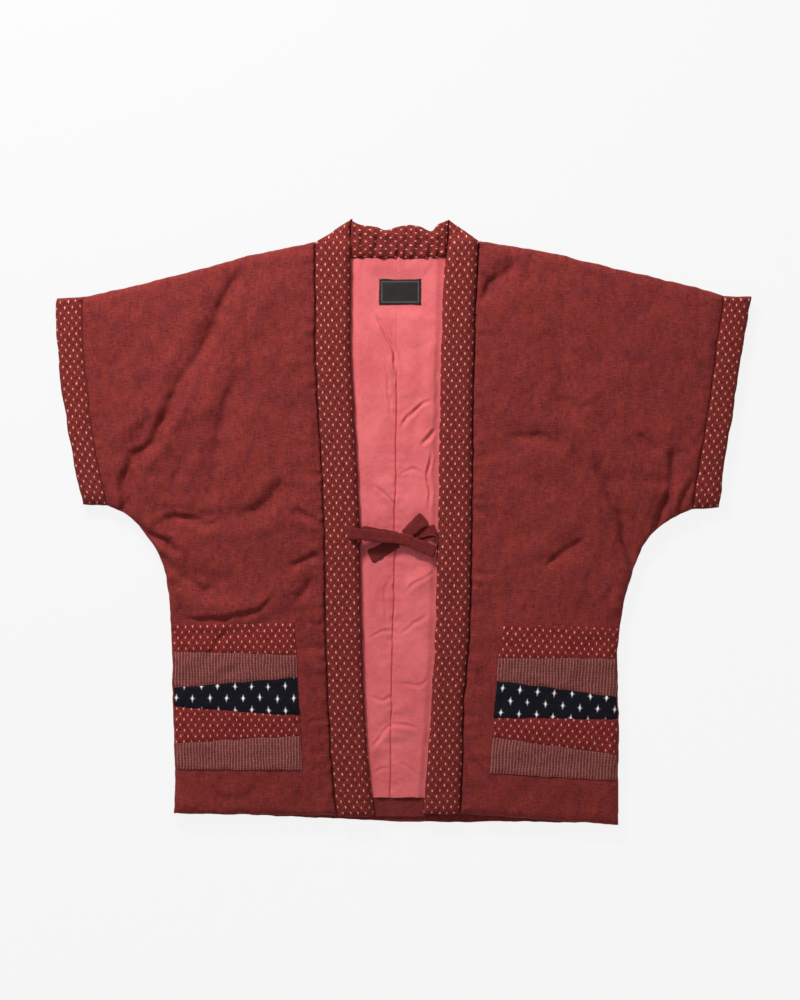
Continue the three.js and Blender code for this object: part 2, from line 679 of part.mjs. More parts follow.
// Past the neckline the strip has no back beneath it, and sinks toward the surface
const collarDroop = (x, y) => {
  const past = y - topEdgeY(x) - COLLAR_DROOP.start;
  return clamp(past * COLLAR_DROOP.slope, 0, COLLAR_DROOP.most);
};

function collarTop(side, x, y) {
  const seam = Math.abs(x - collarSeamX(side, y));
  const fold = Math.abs(x - collarFoldX(side, y));
  const ends = Math.min(y - COLLAR_LINES[side][0].y, topEndDistance(side, x, y));
  const drop = Math.max(
    dropAt(seam, COLLAR_ROLL),
    dropAt(fold, COLLAR_ROLL),
    dropAt(Math.max(0, ends), HEM_ROLL),
  );
  return COLLAR_TOP - drop - collarDroop(x, y);
}

function topEndDistance(side, x, y) {
  const end = COLLAR_LINES[side].at(-1);
  return nearest([[end.seam, end.y], [end.fold, end.foldY]], x, y).distance;
}

const collarUnder = (side, x, y) => {
  const fold = Math.abs(x - collarFoldX(side, y));
  return FRONT_UNDER + liftAt(fold, COLLAR_FOLD_LIFT) - collarDroop(x, y);
};

function makeCollarStrip(side) {
  return layer(
    `collar_${side}`,
    'dots',
    collarGrid(side),
    (x, y) => collarUnder(side, x, y),
    (x, y) => collarTop(side, x, y),
  );
}

// The band round the back of the neck, gathered so that its free edge waves
function makeNeckBand() {
  const first = NECK_LINES[0];
  const last = NECK_LINES.at(-1);
  const grid = [];
  for (let r = 0; r <= NECK_ROWS; r += 1) {
    const seamX = mix(first.seamX, last.seamX, r / NECK_ROWS);
    const seam = [seamX, lookUp(NECK_LINES, 'seamX', 'seamY', seamX)];
    const fold = [
      lookUp(NECK_LINES, 'seamX', 'foldX', seamX),
      lookUp(NECK_LINES, 'seamX', 'foldY', seamX),
    ];
    const row = [];
    for (let c = 0; c <= NECK_COLUMNS; c += 1) {
      row.push(mixPoint(seam, fold, 0.5 - 0.5 * Math.cos((Math.PI * c) / NECK_COLUMNS)));
    }
    grid.push(row);
  }
  const foldDistance = (x, y) => Math.max(0, lookUp(NECK_LINES, 'foldX', 'foldY', x) - y);
  const seamDistance = (x, y) => Math.max(0, y - lookUp(NECK_LINES, 'seamX', 'seamY', x));
  const gather = (x) => {
    const phase = (x - first.seamX) / (last.seamX - first.seamX);
    return NECK_GATHERS.height * Math.cos(2 * Math.PI * NECK_GATHERS.count * phase);
  };
  const over = (x, y) => {
    const seamRoll = { reach: NECK_BAND.reach, drop: NECK_BAND.top - NECK_BAND.seamTop };
    const foldRoll = { reach: NECK_BAND.reach, drop: NECK_BAND.foldDrop };
    const drop = Math.max(
      dropAt(seamDistance(x, y), seamRoll),
      dropAt(foldDistance(x, y), foldRoll),
      dropAt(Math.max(0, Math.min(x - first.seamX, last.seamX - x)), NECK_TUCK),
    );
    return NECK_BAND.top - drop + gather(x) * smooth(foldDistance(x, y) / NECK_BAND.reach);
  };
  const under = (x, y) => {
    return liftAt(foldDistance(x, y), { reach: NECK_BAND.reach, lift: NECK_BAND.foldLift });
  };
  return layer('collar_back', 'dots', grid, under, over);
}

// The lining half that shows between the collar strips, with its ridges of slack
function liningGrid(side, fromY, toY, { rows, columns }) {
  const grid = [];
  for (let r = 0; r <= rows; r += 1) {
    const y = mix(fromY, toY, r / rows);
    const centre = [centreX(y) + (outward(side) * SEAM_GAP) / 2, y];
    const outer = [collarFoldX(side, y) + outward(side) * LINING_UNDER_COLLAR, y];
    const row = [];
    for (let c = 0; c <= columns; c += 1) {
      row.push(mixPoint(centre, outer, c / columns));
    }
    grid.push(row);
  }
  return grid;
}

// Its ridges fade out before the collar strips and the label
function liningTop(side, folds, x, y) {
  const { collar, label } = RIDGE_FADE;
  const clear = outward(side) * (collarFoldX(side, y) - x);
  const toCollar = smooth((clear - collar.start) / collar.reach);
  const show = toCollar * smooth((LABEL.bottom - label.start - y) / label.reach);
  return LINING_TOP + Math.max(0, foldHeight(folds, x, y)) * show;
}

function makeLining(side) {
  const folds = withLines(LINING_FOLDS);
  const grid = liningGrid(side, FACING_TOP_Y + SEAM_GAP, NECKLINE_Y - SEAM_GAP, LINING_GRID);
  return layer(
    `lining_${side}`,
    'lining',
    grid,
    () => BACK_TOP + SEAM_GAP,
    (x, y) => liningTop(side, folds, x, y),
  );
}

function makeHemFacing(side) {
  const grid = liningGrid(side, FACING_HEM_Y, FACING_TOP_Y, FACING_GRID);
  return layer(
    `hem_facing_${side}`,
    'facing',
    grid,
    () => BACK_TOP + SEAM_GAP,
    () => LINING_TOP,
  );
}

// One strip of a pocket, made from the points of the front that it lies on
function makePocketStrip(half, index) {
  const strips = POCKET_CLOTHS.length;
  const first = half.pocketRows[index];
  const last = half.pocketRows[index + 1] ?? half.pocketTopRow;
  const shift = (row) => {
    if (row === first && index > 0) return SEAM_GAP / 2;
    if (row === last && index < strips - 1) return -SEAM_GAP / 2;
    return 0;
  };
  const heights = new Map();
  const grid = [];
  for (let row = first; row <= last; row += 1) {
    const points = half.frontGrid[row].slice(POCKET_FIRST_COLUMN, -1).map(([x, y]) => {
      const point = [x, y + shift(row)];
      const dip = row === first || row === last ? POCKET_SEAM_DIP : 0;
      heights.set(point.join(), { under: frontTop(half, x, y) + SEAM_GAP, dip });
      return point;
    });
    grid.push(points);
  }
  const at = (x, y) => heights.get([x, y].join());
  const over = (x, y) => at(x, y).under + POCKET_THICK - at(x, y).dip;
  const name = `pocket_${half.side}_${strips - index}`;
  return layer(name, POCKET_CLOTHS[index], grid, (x, y) => at(x, y).under, over);
}

function makeLabel() {
  const grid = [
    [[LABEL.right, LABEL.bottom], [LABEL.left, LABEL.bottom]],
    [[LABEL.right, LABEL.top], [LABEL.left, LABEL.top]],
  ];
  const under = LINING_TOP + SEAM_GAP;
  return layer('label', 'label', grid, () => under, () => under + LABEL_THICK);
}

// A flat tie along its run: a bevelled strap, narrow at the knot and full width further out
function makeTie(run) {
  const start = new THREE.Vector3(...run.from);
  const end = new THREE.Vector3(...run.to);
  const out = new THREE.QuadraticBezierCurve3(start, viaControl(run), end);
  const spine = out.getPoints(TIE_STEPS);
  const heading = end.clone().sub(start).setZ(0).normalize();
  if (run.loop) {
    const turn = [30, 90, 150].map((degrees) => {
      const angle = THREE.MathUtils.degToRad(degrees - 90);
      const reach = heading.clone().multiplyScalar((Math.cos(angle) * LOOP_RISE) / 2);
      return end.clone().add(reach).setZ(end.z + LOOP_RISE / 2 + (Math.sin(angle) * LOOP_RISE) / 2);
    });
    const home = out.getPoints(TIE_STEPS).reverse();
    spine.push(...turn, ...home.map((p) => p.clone().setZ(p.z + LOOP_RISE)));
  }
  const across = new THREE.Vector3(-heading.y, heading.x, 0);
  const total = spine.length - 1;
  const points = [];
  spine.forEach((point, i) => {
    const before = spine[Math.max(0, i - 1)];
    const after = spine[Math.min(total, i + 1)];
    const normal = after.clone().sub(before).normalize().cross(across).normalize();
    const fromKnot = run.loop ? Math.min(i, total - i) / (total / 2) : i / total;
    const half = mix(TIE.knotWidth, TIE.width, smooth(fromKnot / TIE.flare)) / 2;
    const section = [
      [-half, 0],
      [-half + TIE.bevel, TIE.thick / 2],
      [half - TIE.bevel, TIE.thick / 2],
      [half, 0],
      [half - TIE.bevel, -TIE.thick / 2],
      [-half + TIE.bevel, -TIE.thick / 2],
    ];
    for (const [sideways, up] of section) {
      const corner = point.clone().addScaledVector(across, sideways).addScaledVector(normal, up);
      points.push(corner.toArray());
    }
  });
  const sides = 6;
  const faces = [];
  for (let i = 0; i < total; i += 1) {
    for (let k = 0; k < sides; k += 1) {
      const a = i * sides + k;
      const b = i * sides + ((k + 1) % sides);
      faces.push([a, b, b + sides], [a, b + sides, a + sides]);
    }
  }
  for (let k = 1; k < sides - 1; k += 1) {
    faces.push([0, k + 1, k], [total * sides, total * sides + k, total * sides + k + 1]);
  }
  return closedMesh(run.name, 'ties', points, faces);
}

// The control point that takes a quadratic curve through via at its middle
function viaControl(run) {
  const coordinates = run.via.map((v, i) => 2 * v - (run.from[i] + run.to[i]) / 2);
  return new THREE.Vector3(...coordinates);
}

function makeKnot() {
  const geometry = new THREE.SphereGeometry(1, 16, 10);
  const position = geometry.getAttribute('position');
  const points = [];
  const index = new Map();
  const remap = [];
  const squared = (v) => Math.sign(v) * Math.abs(v) ** KNOT.squareness;
  for (let i = 0; i < position.count; i += 1) {
    const unit = [position.getX(i), position.getY(i), position.getZ(i)].map((v) => Math.round(v * 1e5) / 1e5);
    const key = unit.join();
    if (!index.has(key)) {
      index.set(key, points.length);
      points.push(unit.map((v, axis) => KNOT.at[axis] + KNOT.half[axis] * squared(v)));
    }
    remap.push(index.get(key));
  }
  const order = geometry.getIndex().array;
  const faces = [];
  for (let i = 0; i < order.length; i += 3) {
    const face = [remap[order[i]], remap[order[i + 1]], remap[order[i + 2]]];
    if (new Set(face).size === 3) faces.push(face);
  }
  return closedMesh('knot', 'ties', points, faces);
}

const jacket = new THREE.Group();
jacket.name = 'hanten';
for (const side of ['right', 'left']) {
  const half = makeHalf(side);
  jacket.add(makeBack(half), makeFront(half), makeCuff(half));
  jacket.add(makeLining(side), makeHemFacing(side), makeCollarStrip(side));
  POCKET_CLOTHS.forEach((cloth, index) => jacket.add(makePocketStrip(half, index)));
}
jacket.add(makeNeckBand(), makeLabel(), makeKnot());
TIE_RUNS.forEach((run) => jacket.add(makeTie(run)));

// The origin is the middle of the outline, on the surface
const box = new THREE.Box3().setFromObject(jacket);
const middle = box.getCenter(new THREE.Vector3());
jacket.position.set(-middle.x, -middle.y, -box.min.z);

export default jacket;
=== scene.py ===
# %% [markdown]
# A hanten is a short padded jacket. This one lies flat on its back on a table, front up, and
# the camera looks straight down at it. Each padded panel could be sculpted, draped by a cloth
# simulation, or built as a height over its own cut. Here every panel is a height over its cut,
# because the creases then stay where the real garment has them and the solids of the frame
# can be followed to the millimetre.

# %% Open the frame
import math

import bpy
import numpy as np
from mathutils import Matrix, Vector


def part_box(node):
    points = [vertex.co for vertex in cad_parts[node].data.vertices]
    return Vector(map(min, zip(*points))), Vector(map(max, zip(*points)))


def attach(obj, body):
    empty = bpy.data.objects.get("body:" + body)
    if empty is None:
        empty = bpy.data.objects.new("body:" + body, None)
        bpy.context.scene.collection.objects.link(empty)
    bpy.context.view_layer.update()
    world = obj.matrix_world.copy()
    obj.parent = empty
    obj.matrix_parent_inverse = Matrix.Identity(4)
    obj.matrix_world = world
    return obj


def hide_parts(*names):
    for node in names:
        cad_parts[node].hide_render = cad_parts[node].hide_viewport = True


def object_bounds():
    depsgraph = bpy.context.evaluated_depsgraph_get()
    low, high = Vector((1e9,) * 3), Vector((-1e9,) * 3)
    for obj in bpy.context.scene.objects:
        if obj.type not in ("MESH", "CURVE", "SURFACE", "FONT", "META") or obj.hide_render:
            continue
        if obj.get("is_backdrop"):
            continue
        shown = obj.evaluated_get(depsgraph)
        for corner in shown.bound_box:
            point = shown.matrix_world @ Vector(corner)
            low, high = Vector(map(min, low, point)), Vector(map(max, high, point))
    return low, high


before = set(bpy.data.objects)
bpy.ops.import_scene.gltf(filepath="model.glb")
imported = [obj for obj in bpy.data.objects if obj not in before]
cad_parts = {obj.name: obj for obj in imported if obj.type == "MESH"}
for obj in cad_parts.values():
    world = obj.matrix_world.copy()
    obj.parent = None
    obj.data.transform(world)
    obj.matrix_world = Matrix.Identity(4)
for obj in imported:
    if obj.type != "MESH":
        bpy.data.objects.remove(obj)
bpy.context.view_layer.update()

# %% [markdown]
# Everything below is written in millimetres in the pattern's own axes: x to the wearer's
# left, y toward the neck, z up from the table. The frame centres the garment, so the label,
# which has plain straight edges, tells how far the pattern has to be moved.

# %% From the pattern to the frame
LABEL = {"right": -30.5, "left": 22.0, "bottom": 271.5, "top": 303.5, "under": 8.8, "thick": 0.7}
label_low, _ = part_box("label")
SHIFT = np.array([
    label_low[0] * 1000 - LABEL["right"],
    label_low[1] * 1000 - LABEL["bottom"],
    label_low[2] * 1000 - LABEL["under"],
])
print("pattern moved by, mm", SHIFT.round(3))

# %% [markdown]
# The heights of the layers: the back lies on the table, the lining on the back, the fronts on
# the lining, and the collar stands highest. A padded edge rounds off over a few millimetres,
# which is given as how far in it starts and how far it drops.

# %% Heights of the layers
SEAM_GAP = 0.3
BACK_TOP = 7.0
RIM_TOP = 8.5
RIM_REACH = 28.0
FRONT_UNDER = 8.8
FRONT_TOP = 17.0
FRONT_CROWN = 2.4
CROWN_REACH = 70.0
SEAM_VALLEY = 13.0
THINNEST = 1.2
SIDE_ROLL = (14.0, 6.0)
HEM_ROLL = (11.0, 4.5)
SEAM_ROLL = (12.0, FRONT_TOP - SEAM_VALLEY)
BACK_EDGE = (10.0, 4.5)
BACK_HEM = (9.0, 2.0)
HEM_LIFT = (7.0, 1.0)
COLLAR_TOP = 21.0
COLLAR_ROLL = (12.0, COLLAR_TOP - SEAM_VALLEY)
COLLAR_FOLD_ROLL = (9.5, 11.2)
COLLAR_FOLD_LIFT = (5.0, 0.5)
STITCH_VALLEY = {"depth": 2.5, "width": 1.4}
POCKET_THICK = 1.6

# %% [markdown]
# The cut is one table. Every row is a line across both halves: its name, the steps to the next
# line, and for each half where the line meets the collar seam, where it meets the side seam or
# the cuff seam, and where it would reach the open end of the sleeve.

# %% The cut of the two halves
SIDES = ("right", "left")
CUT = [
    ("hem", 1, (-366, (-287, -364)), (-364, (268, -378))),
    ("hem roll", 2, (-354, (-286, -351)), (-351, (268, -364))),
    ("pocket hem", 2, (-309, (-285.5, -308)), (-310, (268, -323))),
    ("pocket seam 4", 2, (-264, (-286.5, -275)), (-263, (268.5, -290))),
    ("pocket seam 3", 2, (-244, (-288, -230)), (-243.5, (269, -246))),
    ("pocket seam 2", 2, (-190, (-288.5, -207)), (-193, (268, -218))),
    ("pocket seam 1", 2, (-166, (-289, -161)), (-169, (267, -170))),
    ("pocket top", 2, (-126, (-290.5, -127)), (-125, (270, -133))),
    ("waist", 3, (-92, (-292.5, -95)), (-95, (275, -104))),
    ("underarm low", 3, (-50, (-301, -52)), (-54, (287, -60))),
    ("underarm middle", 2, (-6, (-320, -18)), (-10, (304, -22))),
    ("underarm top", 2, (29, (-344, 8)), (28, (336, 5))),
    ("cuff bottom", 3, (62, (-369, 20), (-400, 22)), (59, (360, 16), (394, 18))),
    ("cuff low", 3, (115, (-383, 80), (-412, 80)), (115, (371, 82), (402, 82))),
    ("cuff middle", 4, (178, (-392, 138), (-422, 138)), (178, (382, 150), (413, 146))),
    ("cuff high", 3, (259, (-399, 212), (-431, 212)), (259, (391, 219), (422, 215))),
    ("shoulder roll", 2, (334, (-401, 268), (-434, 265)), (334, (398, 269), (431, 266))),
    ("shoulder", 0, (350, (-401, 281), (-433, 279)), (351, (399, 283), (434, 281))),
]
CROSS_LINES = {side: [] for side in SIDES}
for at, steps, *line_of_half in CUT:
    for side, line in zip(SIDES, line_of_half):
        CROSS_LINES[side].append(dict(zip(("seam_y", "edge", "mouth"), line), at=at, steps=steps))
TOP_EDGE = [
    (-401, 281), (-348, 292), (-283, 308), (-192, 333), (-110, 350), (-92, 334), (-73, 329),
    (-57, 328), (46, 328), (58, 331), (74, 338), (95, 351), (176, 338), (242, 322),
    (366, 293), (399, 283),
]
SHOULDER_POINT_X = 95
NECKLINE_Y = 328
BACK_HEM_LINE = [(-287, -364), (-192, -366), (-79, -371), (-4, -375), (227, -375), (268, -378)]
CENTRE_SEAM = [(-375, -17), (150, -8), (328, -8)]
print("lines across each half:", len(CUT))

# %% [markdown]
# The collar's rows run up its seam. The neck band's rows run round the neck, from the wearer's
# right to the left.

# %% The collar, the neck band and the pockets
def rows_of(columns, rows):
    """A table written as plain numbers, with a name for each column."""
    return [dict(zip(columns, row)) for row in rows]


COLLAR_LINES = {
    "right": rows_of(("y", "seam", "fold"), [
        (-367, -83, -36), (-336, -86, -40), (-286, -91, -45), (-222, -94, -49), (-98, -98, -53),
        (-22, -98, -54), (52, -101, -57), (165, -108, -63), (224, -110, -66), (325, -110, -66),
        (349, -110, -64),
    ]),
    "left": rows_of(("y", "seam", "fold"), [
        (-364, 71, 25), (-336, 72, 27), (-286, 74, 31), (-222, 75, 35), (-160, 81, 39),
        (-98, 84, 41), (52, 86, 44), (165, 87, 46), (284, 90, 49), (325, 93, 52), (350, 95, 56),
    ]),
}
COLLAR_END_FOLD_Y = {"right": 379, "left": 378}
NECK_LINES = rows_of(("seam_x", "fold_x", "seam_y", "fold_y"), [
    (-65.5, -63.8, 329, 376), (-57, -55.5, 328.6, 372.5), (-36, -34, 328.4, 369),
    (-22, -22, 328.4, 365), (-4, -4, 328.4, 370), (21, 21, 328.4, 370), (34, 34, 328.4, 364),
    (43, 43, 328.8, 372), (52.1, 55.5, 330.5, 377),
])
POCKET_INNER = {
    "right": [(-309, -126), (-126, -136)],
    "left": [(-312, 108), (-169, 118), (-126, 125)],
}
print("lines of the collar:", {side: len(COLLAR_LINES[side]) for side in SIDES})

# %% [markdown]
# Soft forms come from a few small helpers: a smooth line through points, the distance of each
# point from a line, and the rounding of a padded edge.

# %% Lines and distances
def lerp(a, b, t):
    return a + (b - a) * t


def smooth(t):
    s = np.clip(t, 0, 1)
    return s * s * (3 - 2 * s)


def eased(t):
    """From 0 to 1, slow at both ends."""
    return 0.5 - 0.5 * np.cos(np.pi * t)


def between(line, at):
    """The second value of a list of pairs, at a place along the first."""
    return np.interp(at, [pair[0] for pair in line], [pair[1] for pair in line])


def look_up(table, key, column, at):
    return np.interp(at, [row[key] for row in table], [row[column] for row in table])


def smooth_line(points, counts):
    """A smooth line through points, with each stretch cut into its own number of steps."""
    points = np.asarray(points, float)
    padded = np.vstack([2 * points[0] - points[1], points, 2 * points[-1] - points[-2]])
    filled = []
    for i, count in enumerate(counts[:len(points) - 1]):
        before, a, b, after = padded[i:i + 4]
        ta, tb, tc = (
            max(np.linalg.norm(q - p), 1e-6) ** 0.5 for p, q in ((before, a), (a, b), (b, after))
        )
        leave = tb * ((a - before) / ta - (b - before) / (ta + tb) + (b - a) / tb)
        arrive = tb * ((b - a) / tb - (after - a) / (tb + tc) + (after - b) / tc)
        t = np.arange(count)[:, None] / count
        square = -3 * a + 3 * b - 2 * leave - arrive
        cube = 2 * a - 2 * b + leave + arrive
        filled.append(a + leave * t + square * t ** 2 + cube * t ** 3)
    filled.append(points[-1:])
    return np.vstack(filled)


def curve(start, bend, end, count):
    """Points from one end, which is left toward the bend, to the other end."""
    start, bend, end = (np.array(v, float) for v in (start, bend, end))
    t = np.linspace(0, 1, count)[:, None]
    return (1 - t) ** 2 * start + 2 * t * (1 - t) * bend + t ** 2 * end


def run_along(line):
    """How far along a line each of its points lies."""
    return np.concatenate([[0], np.cumsum(np.linalg.norm(np.diff(line, axis=0), axis=1))])


def nearest(line, x, y):
    """How far each point is from a line, and how far along the line it lies."""
    distance = np.full(np.shape(x), np.inf)
    along = np.zeros(np.shape(x))
    run = 0.0
    for (ax, ay), (bx, by) in zip(line[:-1], line[1:]):
        dx, dy = bx - ax, by - ay
        length = math.hypot(dx, dy)
        t = np.clip(((x - ax) * dx + (y - ay) * dy) / length ** 2, 0, 1)
        away = np.hypot(x - ax - dx * t, y - ay - dy * t)
        closer = away < distance
        distance = np.where(closer, away, distance)
        along = np.where(closer, run + t * length, along)
        run += length
    return distance, along


def drop_at(distance, roll):
    """How far a padded edge has dropped at a distance in from it."""
    reach, drop = roll
    t = 1 - np.clip(distance / reach, 0, 1)
    return drop * (1 - np.sqrt(1 - t * t))


# %% [markdown]
# Nothing in cloth is even, so smooth noise goes into almost every height: into the lie of the
# padding, the puckers along a seam, the pull of its stitches and the depth of a crease.

# %% Noise and wrinkles
def noise(x, y, seed):
    """Smooth noise between about -1 and 1, with lumps about one unit wide."""
    size = 128
    angles = np.random.default_rng(seed).uniform(0, 2 * np.pi, (size, size))
    xi = np.floor(x).astype(int)
    yi = np.floor(y).astype(int)
    fx = x - xi
    fy = y - yi

    def corner(i, j):
        angle = angles[(xi + i) % size, (yi + j) % size]
        return np.cos(angle) * (fx - i) + np.sin(angle) * (fy - j)

    u = fx ** 3 * (fx * (fx * 6 - 15) + 10)
    v = fy ** 3 * (fy * (fy * 6 - 15) + 10)
    low = lerp(corner(0, 0), corner(1, 0), u)
    high = lerp(corner(0, 1), corner(1, 1), u)
    return 1.5 * lerp(low, high, v)


def crumple(x, y, seed):
    """The uneven lie of padded cotton: broad swells, and finer wrinkles that bend with them."""
    bend = 9 * noise(x / 70, y / 70, seed + 1)
    broad = 1.1 * noise(x / 62, y / 62, seed + 2)
    middle = 0.75 * noise((x + bend) / 27, (y - bend) / 31, seed + 3)
    creased = 1.2 * (0.4 - np.abs(noise((x - bend) / 30, (y + bend) / 36, seed + 4)))
    fine = 0.22 * noise(x / 9, y / 10, seed + 5)
    return broad + middle + creased + fine


def puckers(line, x, y, height, spacing, reach, seed):
    """Short wrinkles that run away from a seam, where the stitching has drawn the cloth in."""
    away, along = nearest(line, x, y)
    wave = noise(along / spacing, away / (3.5 * spacing), seed)
    return height * wave * np.exp(-away / reach) * smooth(away / 3)


def stitched(distance, along):
    """How far the stitches of a seam pull the cloth down, here more and there less."""
    pull = 1 + 0.9 * noise(along / 5.5, 0.4, 44)
    wide = STITCH_VALLEY["width"] * (1 + 0.5 * noise(along / 8, 0.6, 45))
    return STITCH_VALLEY["depth"] * pull * np.exp(-(distance / wide) ** 2)


UPHILL = (-0.55, 0.83)
UPHILL_WIDTH = 0.85
DOWNHILL_WIDTH = 1.3
WANDER = 2.6
LIP_HEIGHT = 0.4
LIP_AWAY = 2.0
FADE = 0.25


def creases(table, x, y, narrow=1.0, deep=1.0):
    """Troughs with a soft lip on either side. A negative depth makes a ridge.

    A pressed crease is steep on its uphill side and runs out softly on the other. It fades in
    over the first quarter of its line and out over the last.
    """
    height = np.zeros(np.shape(x))
    x = x + WANDER * noise(x / 24, y / 24, 41)
    y = y + WANDER * noise(x / 24, y / 24, 42)
    for crease in table:
        line = smooth_line(crease["line"], [8] * (len(crease["line"]) - 1))
        away, along = nearest(line, x, y)
        run = run_along(line)
        share = along / run[-1]
        fade = smooth(share / FADE) * smooth((1 - share) / FADE)
        fade *= 1 + 0.45 * noise(along / 19, 0.37 * run[-1], 43)
        on_x, on_y = (np.interp(along, run, line[:, axis]) for axis in (0, 1))
        facing = ((x - on_x) * UPHILL[0] + (y - on_y) * UPHILL[1]) / np.maximum(away, 1e-6)
        wide = lerp(DOWNHILL_WIDTH, UPHILL_WIDTH, smooth((facing + 1) / 2))
        q = away / (crease["width"] * narrow * wide)
        lip = LIP_HEIGHT * np.exp(-((q - LIP_AWAY) ** 2))
        height -= crease["depth"] * deep * fade * (np.exp(-q * q) - lip)
    return height


# %% [markdown]
# The creases of the fronts. The broad ones are the same as in the solids of the frame. The
# finer ones lie along them and between them, each placed where the sleeve, the chest or the
# pocket pulls the cloth on the real jacket. A bow is written as one end, the point it leans
# toward and the other end. A trace is written as its width, its depth and the points it passes.

# %% Creases of the fronts
def bow(start, bend, end, width, depth):
    return {"line": curve(start, bend, end, 6), "width": width, "depth": depth}


def trace(width, depth, *line):
    return {"line": line, "width": width, "depth": depth}


FRONT_CREASES = {
    "right": [
        bow((-348, 21), (-350, 95), (-296, 140), 13, 4.4),
        bow((-305, 128), (-250, 225), (-191, 328), 13, 3.6),
        bow((-197, 199), (-236, 120), (-251, 0), 13, 3.0),
        bow((-311, -1), (-265, 14), (-224, 0), 11, 2.8),
        bow((-197, 10), (-168, 16), (-147, 59), 11, 2.6),
        bow((-288, -47), (-240, -92), (-194, -60), 12, 2.8),
        bow((-276, -106), (-185, -118), (-157, -80), 11, -2.6),
        bow((-106, -62), (-124, -80), (-136, -104), 10, 2.4),
        bow((-105, -35), (-124, -52), (-146, -55), 10, 2.2),
    ],
    "left": [
        bow((98, 268), (105, 303), (146, 330), 12, 3.2),
        bow((175, 239), (208, 180), (200, 115), 13, 3.0),
        bow((118, 105), (178, 110), (214, 92), 12, 2.6),
        bow((234, 87), (275, 20), (286, -54), 12, 4.2),
        bow((288, 108), (304, 100), (318, 85), 11, 2.4),
        bow((336, 95), (338, 72), (335, 50), 11, 2.6),
        bow((334, 40), (318, 18), (318, -8), 10, 3.2),
        bow((230, -22), (192, -34), (174, -62), 12, 2.8),
    ],
}
FINE_CREASES = {
    "right": [
        trace(
            6.5, 4.2, (-368, -44), (-353, -8), (-347, 22), (-348, 48), (-338, 77), (-314, 98),
            (-300, 128), (-284, 160), (-266, 196),
        ),
        trace(5, 1.6, (-282, 165), (-262, 200), (-238, 240), (-224, 280), (-208, 307), (-191, 330)),
        trace(5, 1.5, (-197, 199), (-211, 175), (-223, 143), (-230, 108), (-235, 70), (-241, 35), (-251, 0)),
        trace(4.5, 1.7, (-316, -4), (-287, 6), (-261, 3), (-249, -4), (-224, 2)),
        trace(5, 0.7, (-200, 8), (-173, 22), (-159, 41), (-147, 62)),
        trace(7, 1.2, (-188, 288), (-195, 262), (-204, 232)),
        trace(7, 1.0, (-157, 276), (-150, 234), (-154, 186)),
        trace(
            6, 1.9, (-340, -36), (-318, -44), (-297, -48), (-281, -66), (-266, -76), (-249, -87),
            (-237, -76), (-224, -62),
        ),
        trace(9, 1.2, (-250, -3), (-217, 7), (-180, 13), (-157, 38)),
        trace(4, 1.7, (-283, -119), (-256, -122), (-220, -120), (-188, -112), (-169, -100), (-155, -78)),
        trace(4.5, 1.4, (-104, -33), (-126, -50), (-146, -56)),
        trace(4.5, 1.4, (-105, -64), (-124, -84), (-137, -104)),
        trace(5, 1.7, (-143, 15), (-124, 9), (-104, 2)),
        trace(4, 1.1, (-212, -130), (-231, -150), (-250, -174)),
        trace(5, 0.8, (-204, -178), (-235, -196)),
        trace(3.5, 0.9, (-99, -124), (-112, -127), (-124, -122)),
        trace(3.5, 0.8, (-99, -158), (-112, -155), (-126, -160)),
        trace(3.5, 0.8, (-97, -252), (-110, -249), (-122, -254)),
        trace(3.5, 0.9, (-95, -286), (-108, -290), (-120, -287)),
        trace(3.5, 0.8, (-93, -310), (-106, -306), (-118, -311)),
        trace(6, 0.8, (-300, 30), (-280, 60), (-262, 108)),
        trace(6, 0.7, (-366, 190), (-345, 215), (-330, 250)),
        trace(5, 0.7, (-270, -20), (-262, -42)),
        trace(6, 0.8, (-180, -330), (-205, -345), (-240, -338)),
        trace(4.5, 2.4, (-330, -2), (-310, -19), (-295, -26), (-280, -44)),
        trace(5, 1.4, (-316, -84), (-290, -78), (-262, -90)),
    ],
    "left": [
        trace(4.5, 1.6, (94, 262), (107, 294), (128, 312), (148, 329)),
        trace(6, 1.0, (159, 338), (156, 296)),
        trace(5, 1.3, (173, 242), (193, 212), (202, 174), (210, 140), (198, 112)),
        trace(4.5, 0.9, (214, 140), (237, 149), (254, 164)),
        trace(4.5, 1.4, (120, 103), (145, 106), (169, 106), (187, 98), (210, 92)),
        trace(4.5, 3.0, (236, 84), (252, 48), (268, 12), (276, -23), (285, -50), (300, -84)),
        trace(4.5, 1.7, (282, 112), (304, 98), (324, 80)),
        trace(4.5, 2.2, (330, 102), (335, 88), (336, 70), (335, 46)),
        trace(5, 1.2, (342, 53), (318, 50), (296, 53)),
        trace(4, 3.0, (338, 58), (330, 32), (319, 12), (316, -8), (316, -40)),
        trace(4, 2.6, (364, 58), (354, 42), (348, 27), (344, 10), (338, -16)),
        trace(4.5, 1.4, (232, -21), (196, -38), (173, -64)),
        trace(4, 1.4, (77, -286), (92, -304), (114, -328)),
        trace(4.5, 1.0, (246, -104), (264, -78)),
        trace(5, 0.9, (347, 278), (362, 260), (380, 238)),
        trace(5, 0.7, (230, 312), (248, 291)),
        trace(5, 0.7, (260, 297), (277, 276)),
        trace(5, 0.8, (160, -92), (149, -118)),
        trace(6, 0.7, (110, 20), (124, -12), (122, -48)),
        trace(6, 0.6, (250, 230), (280, 205), (318, 190)),
        trace(4, 0.8, (89, -60), (104, -66), (114, -62)),
        trace(4, 0.7, (87, -200), (98, -204), (108, -199)),
        trace(5, 0.7, (160, -200), (190, -214), (230, -206)),
    ],
}
print("creases:", sum(len(t) for t in (*FRONT_CREASES.values(), *FINE_CREASES.values())))

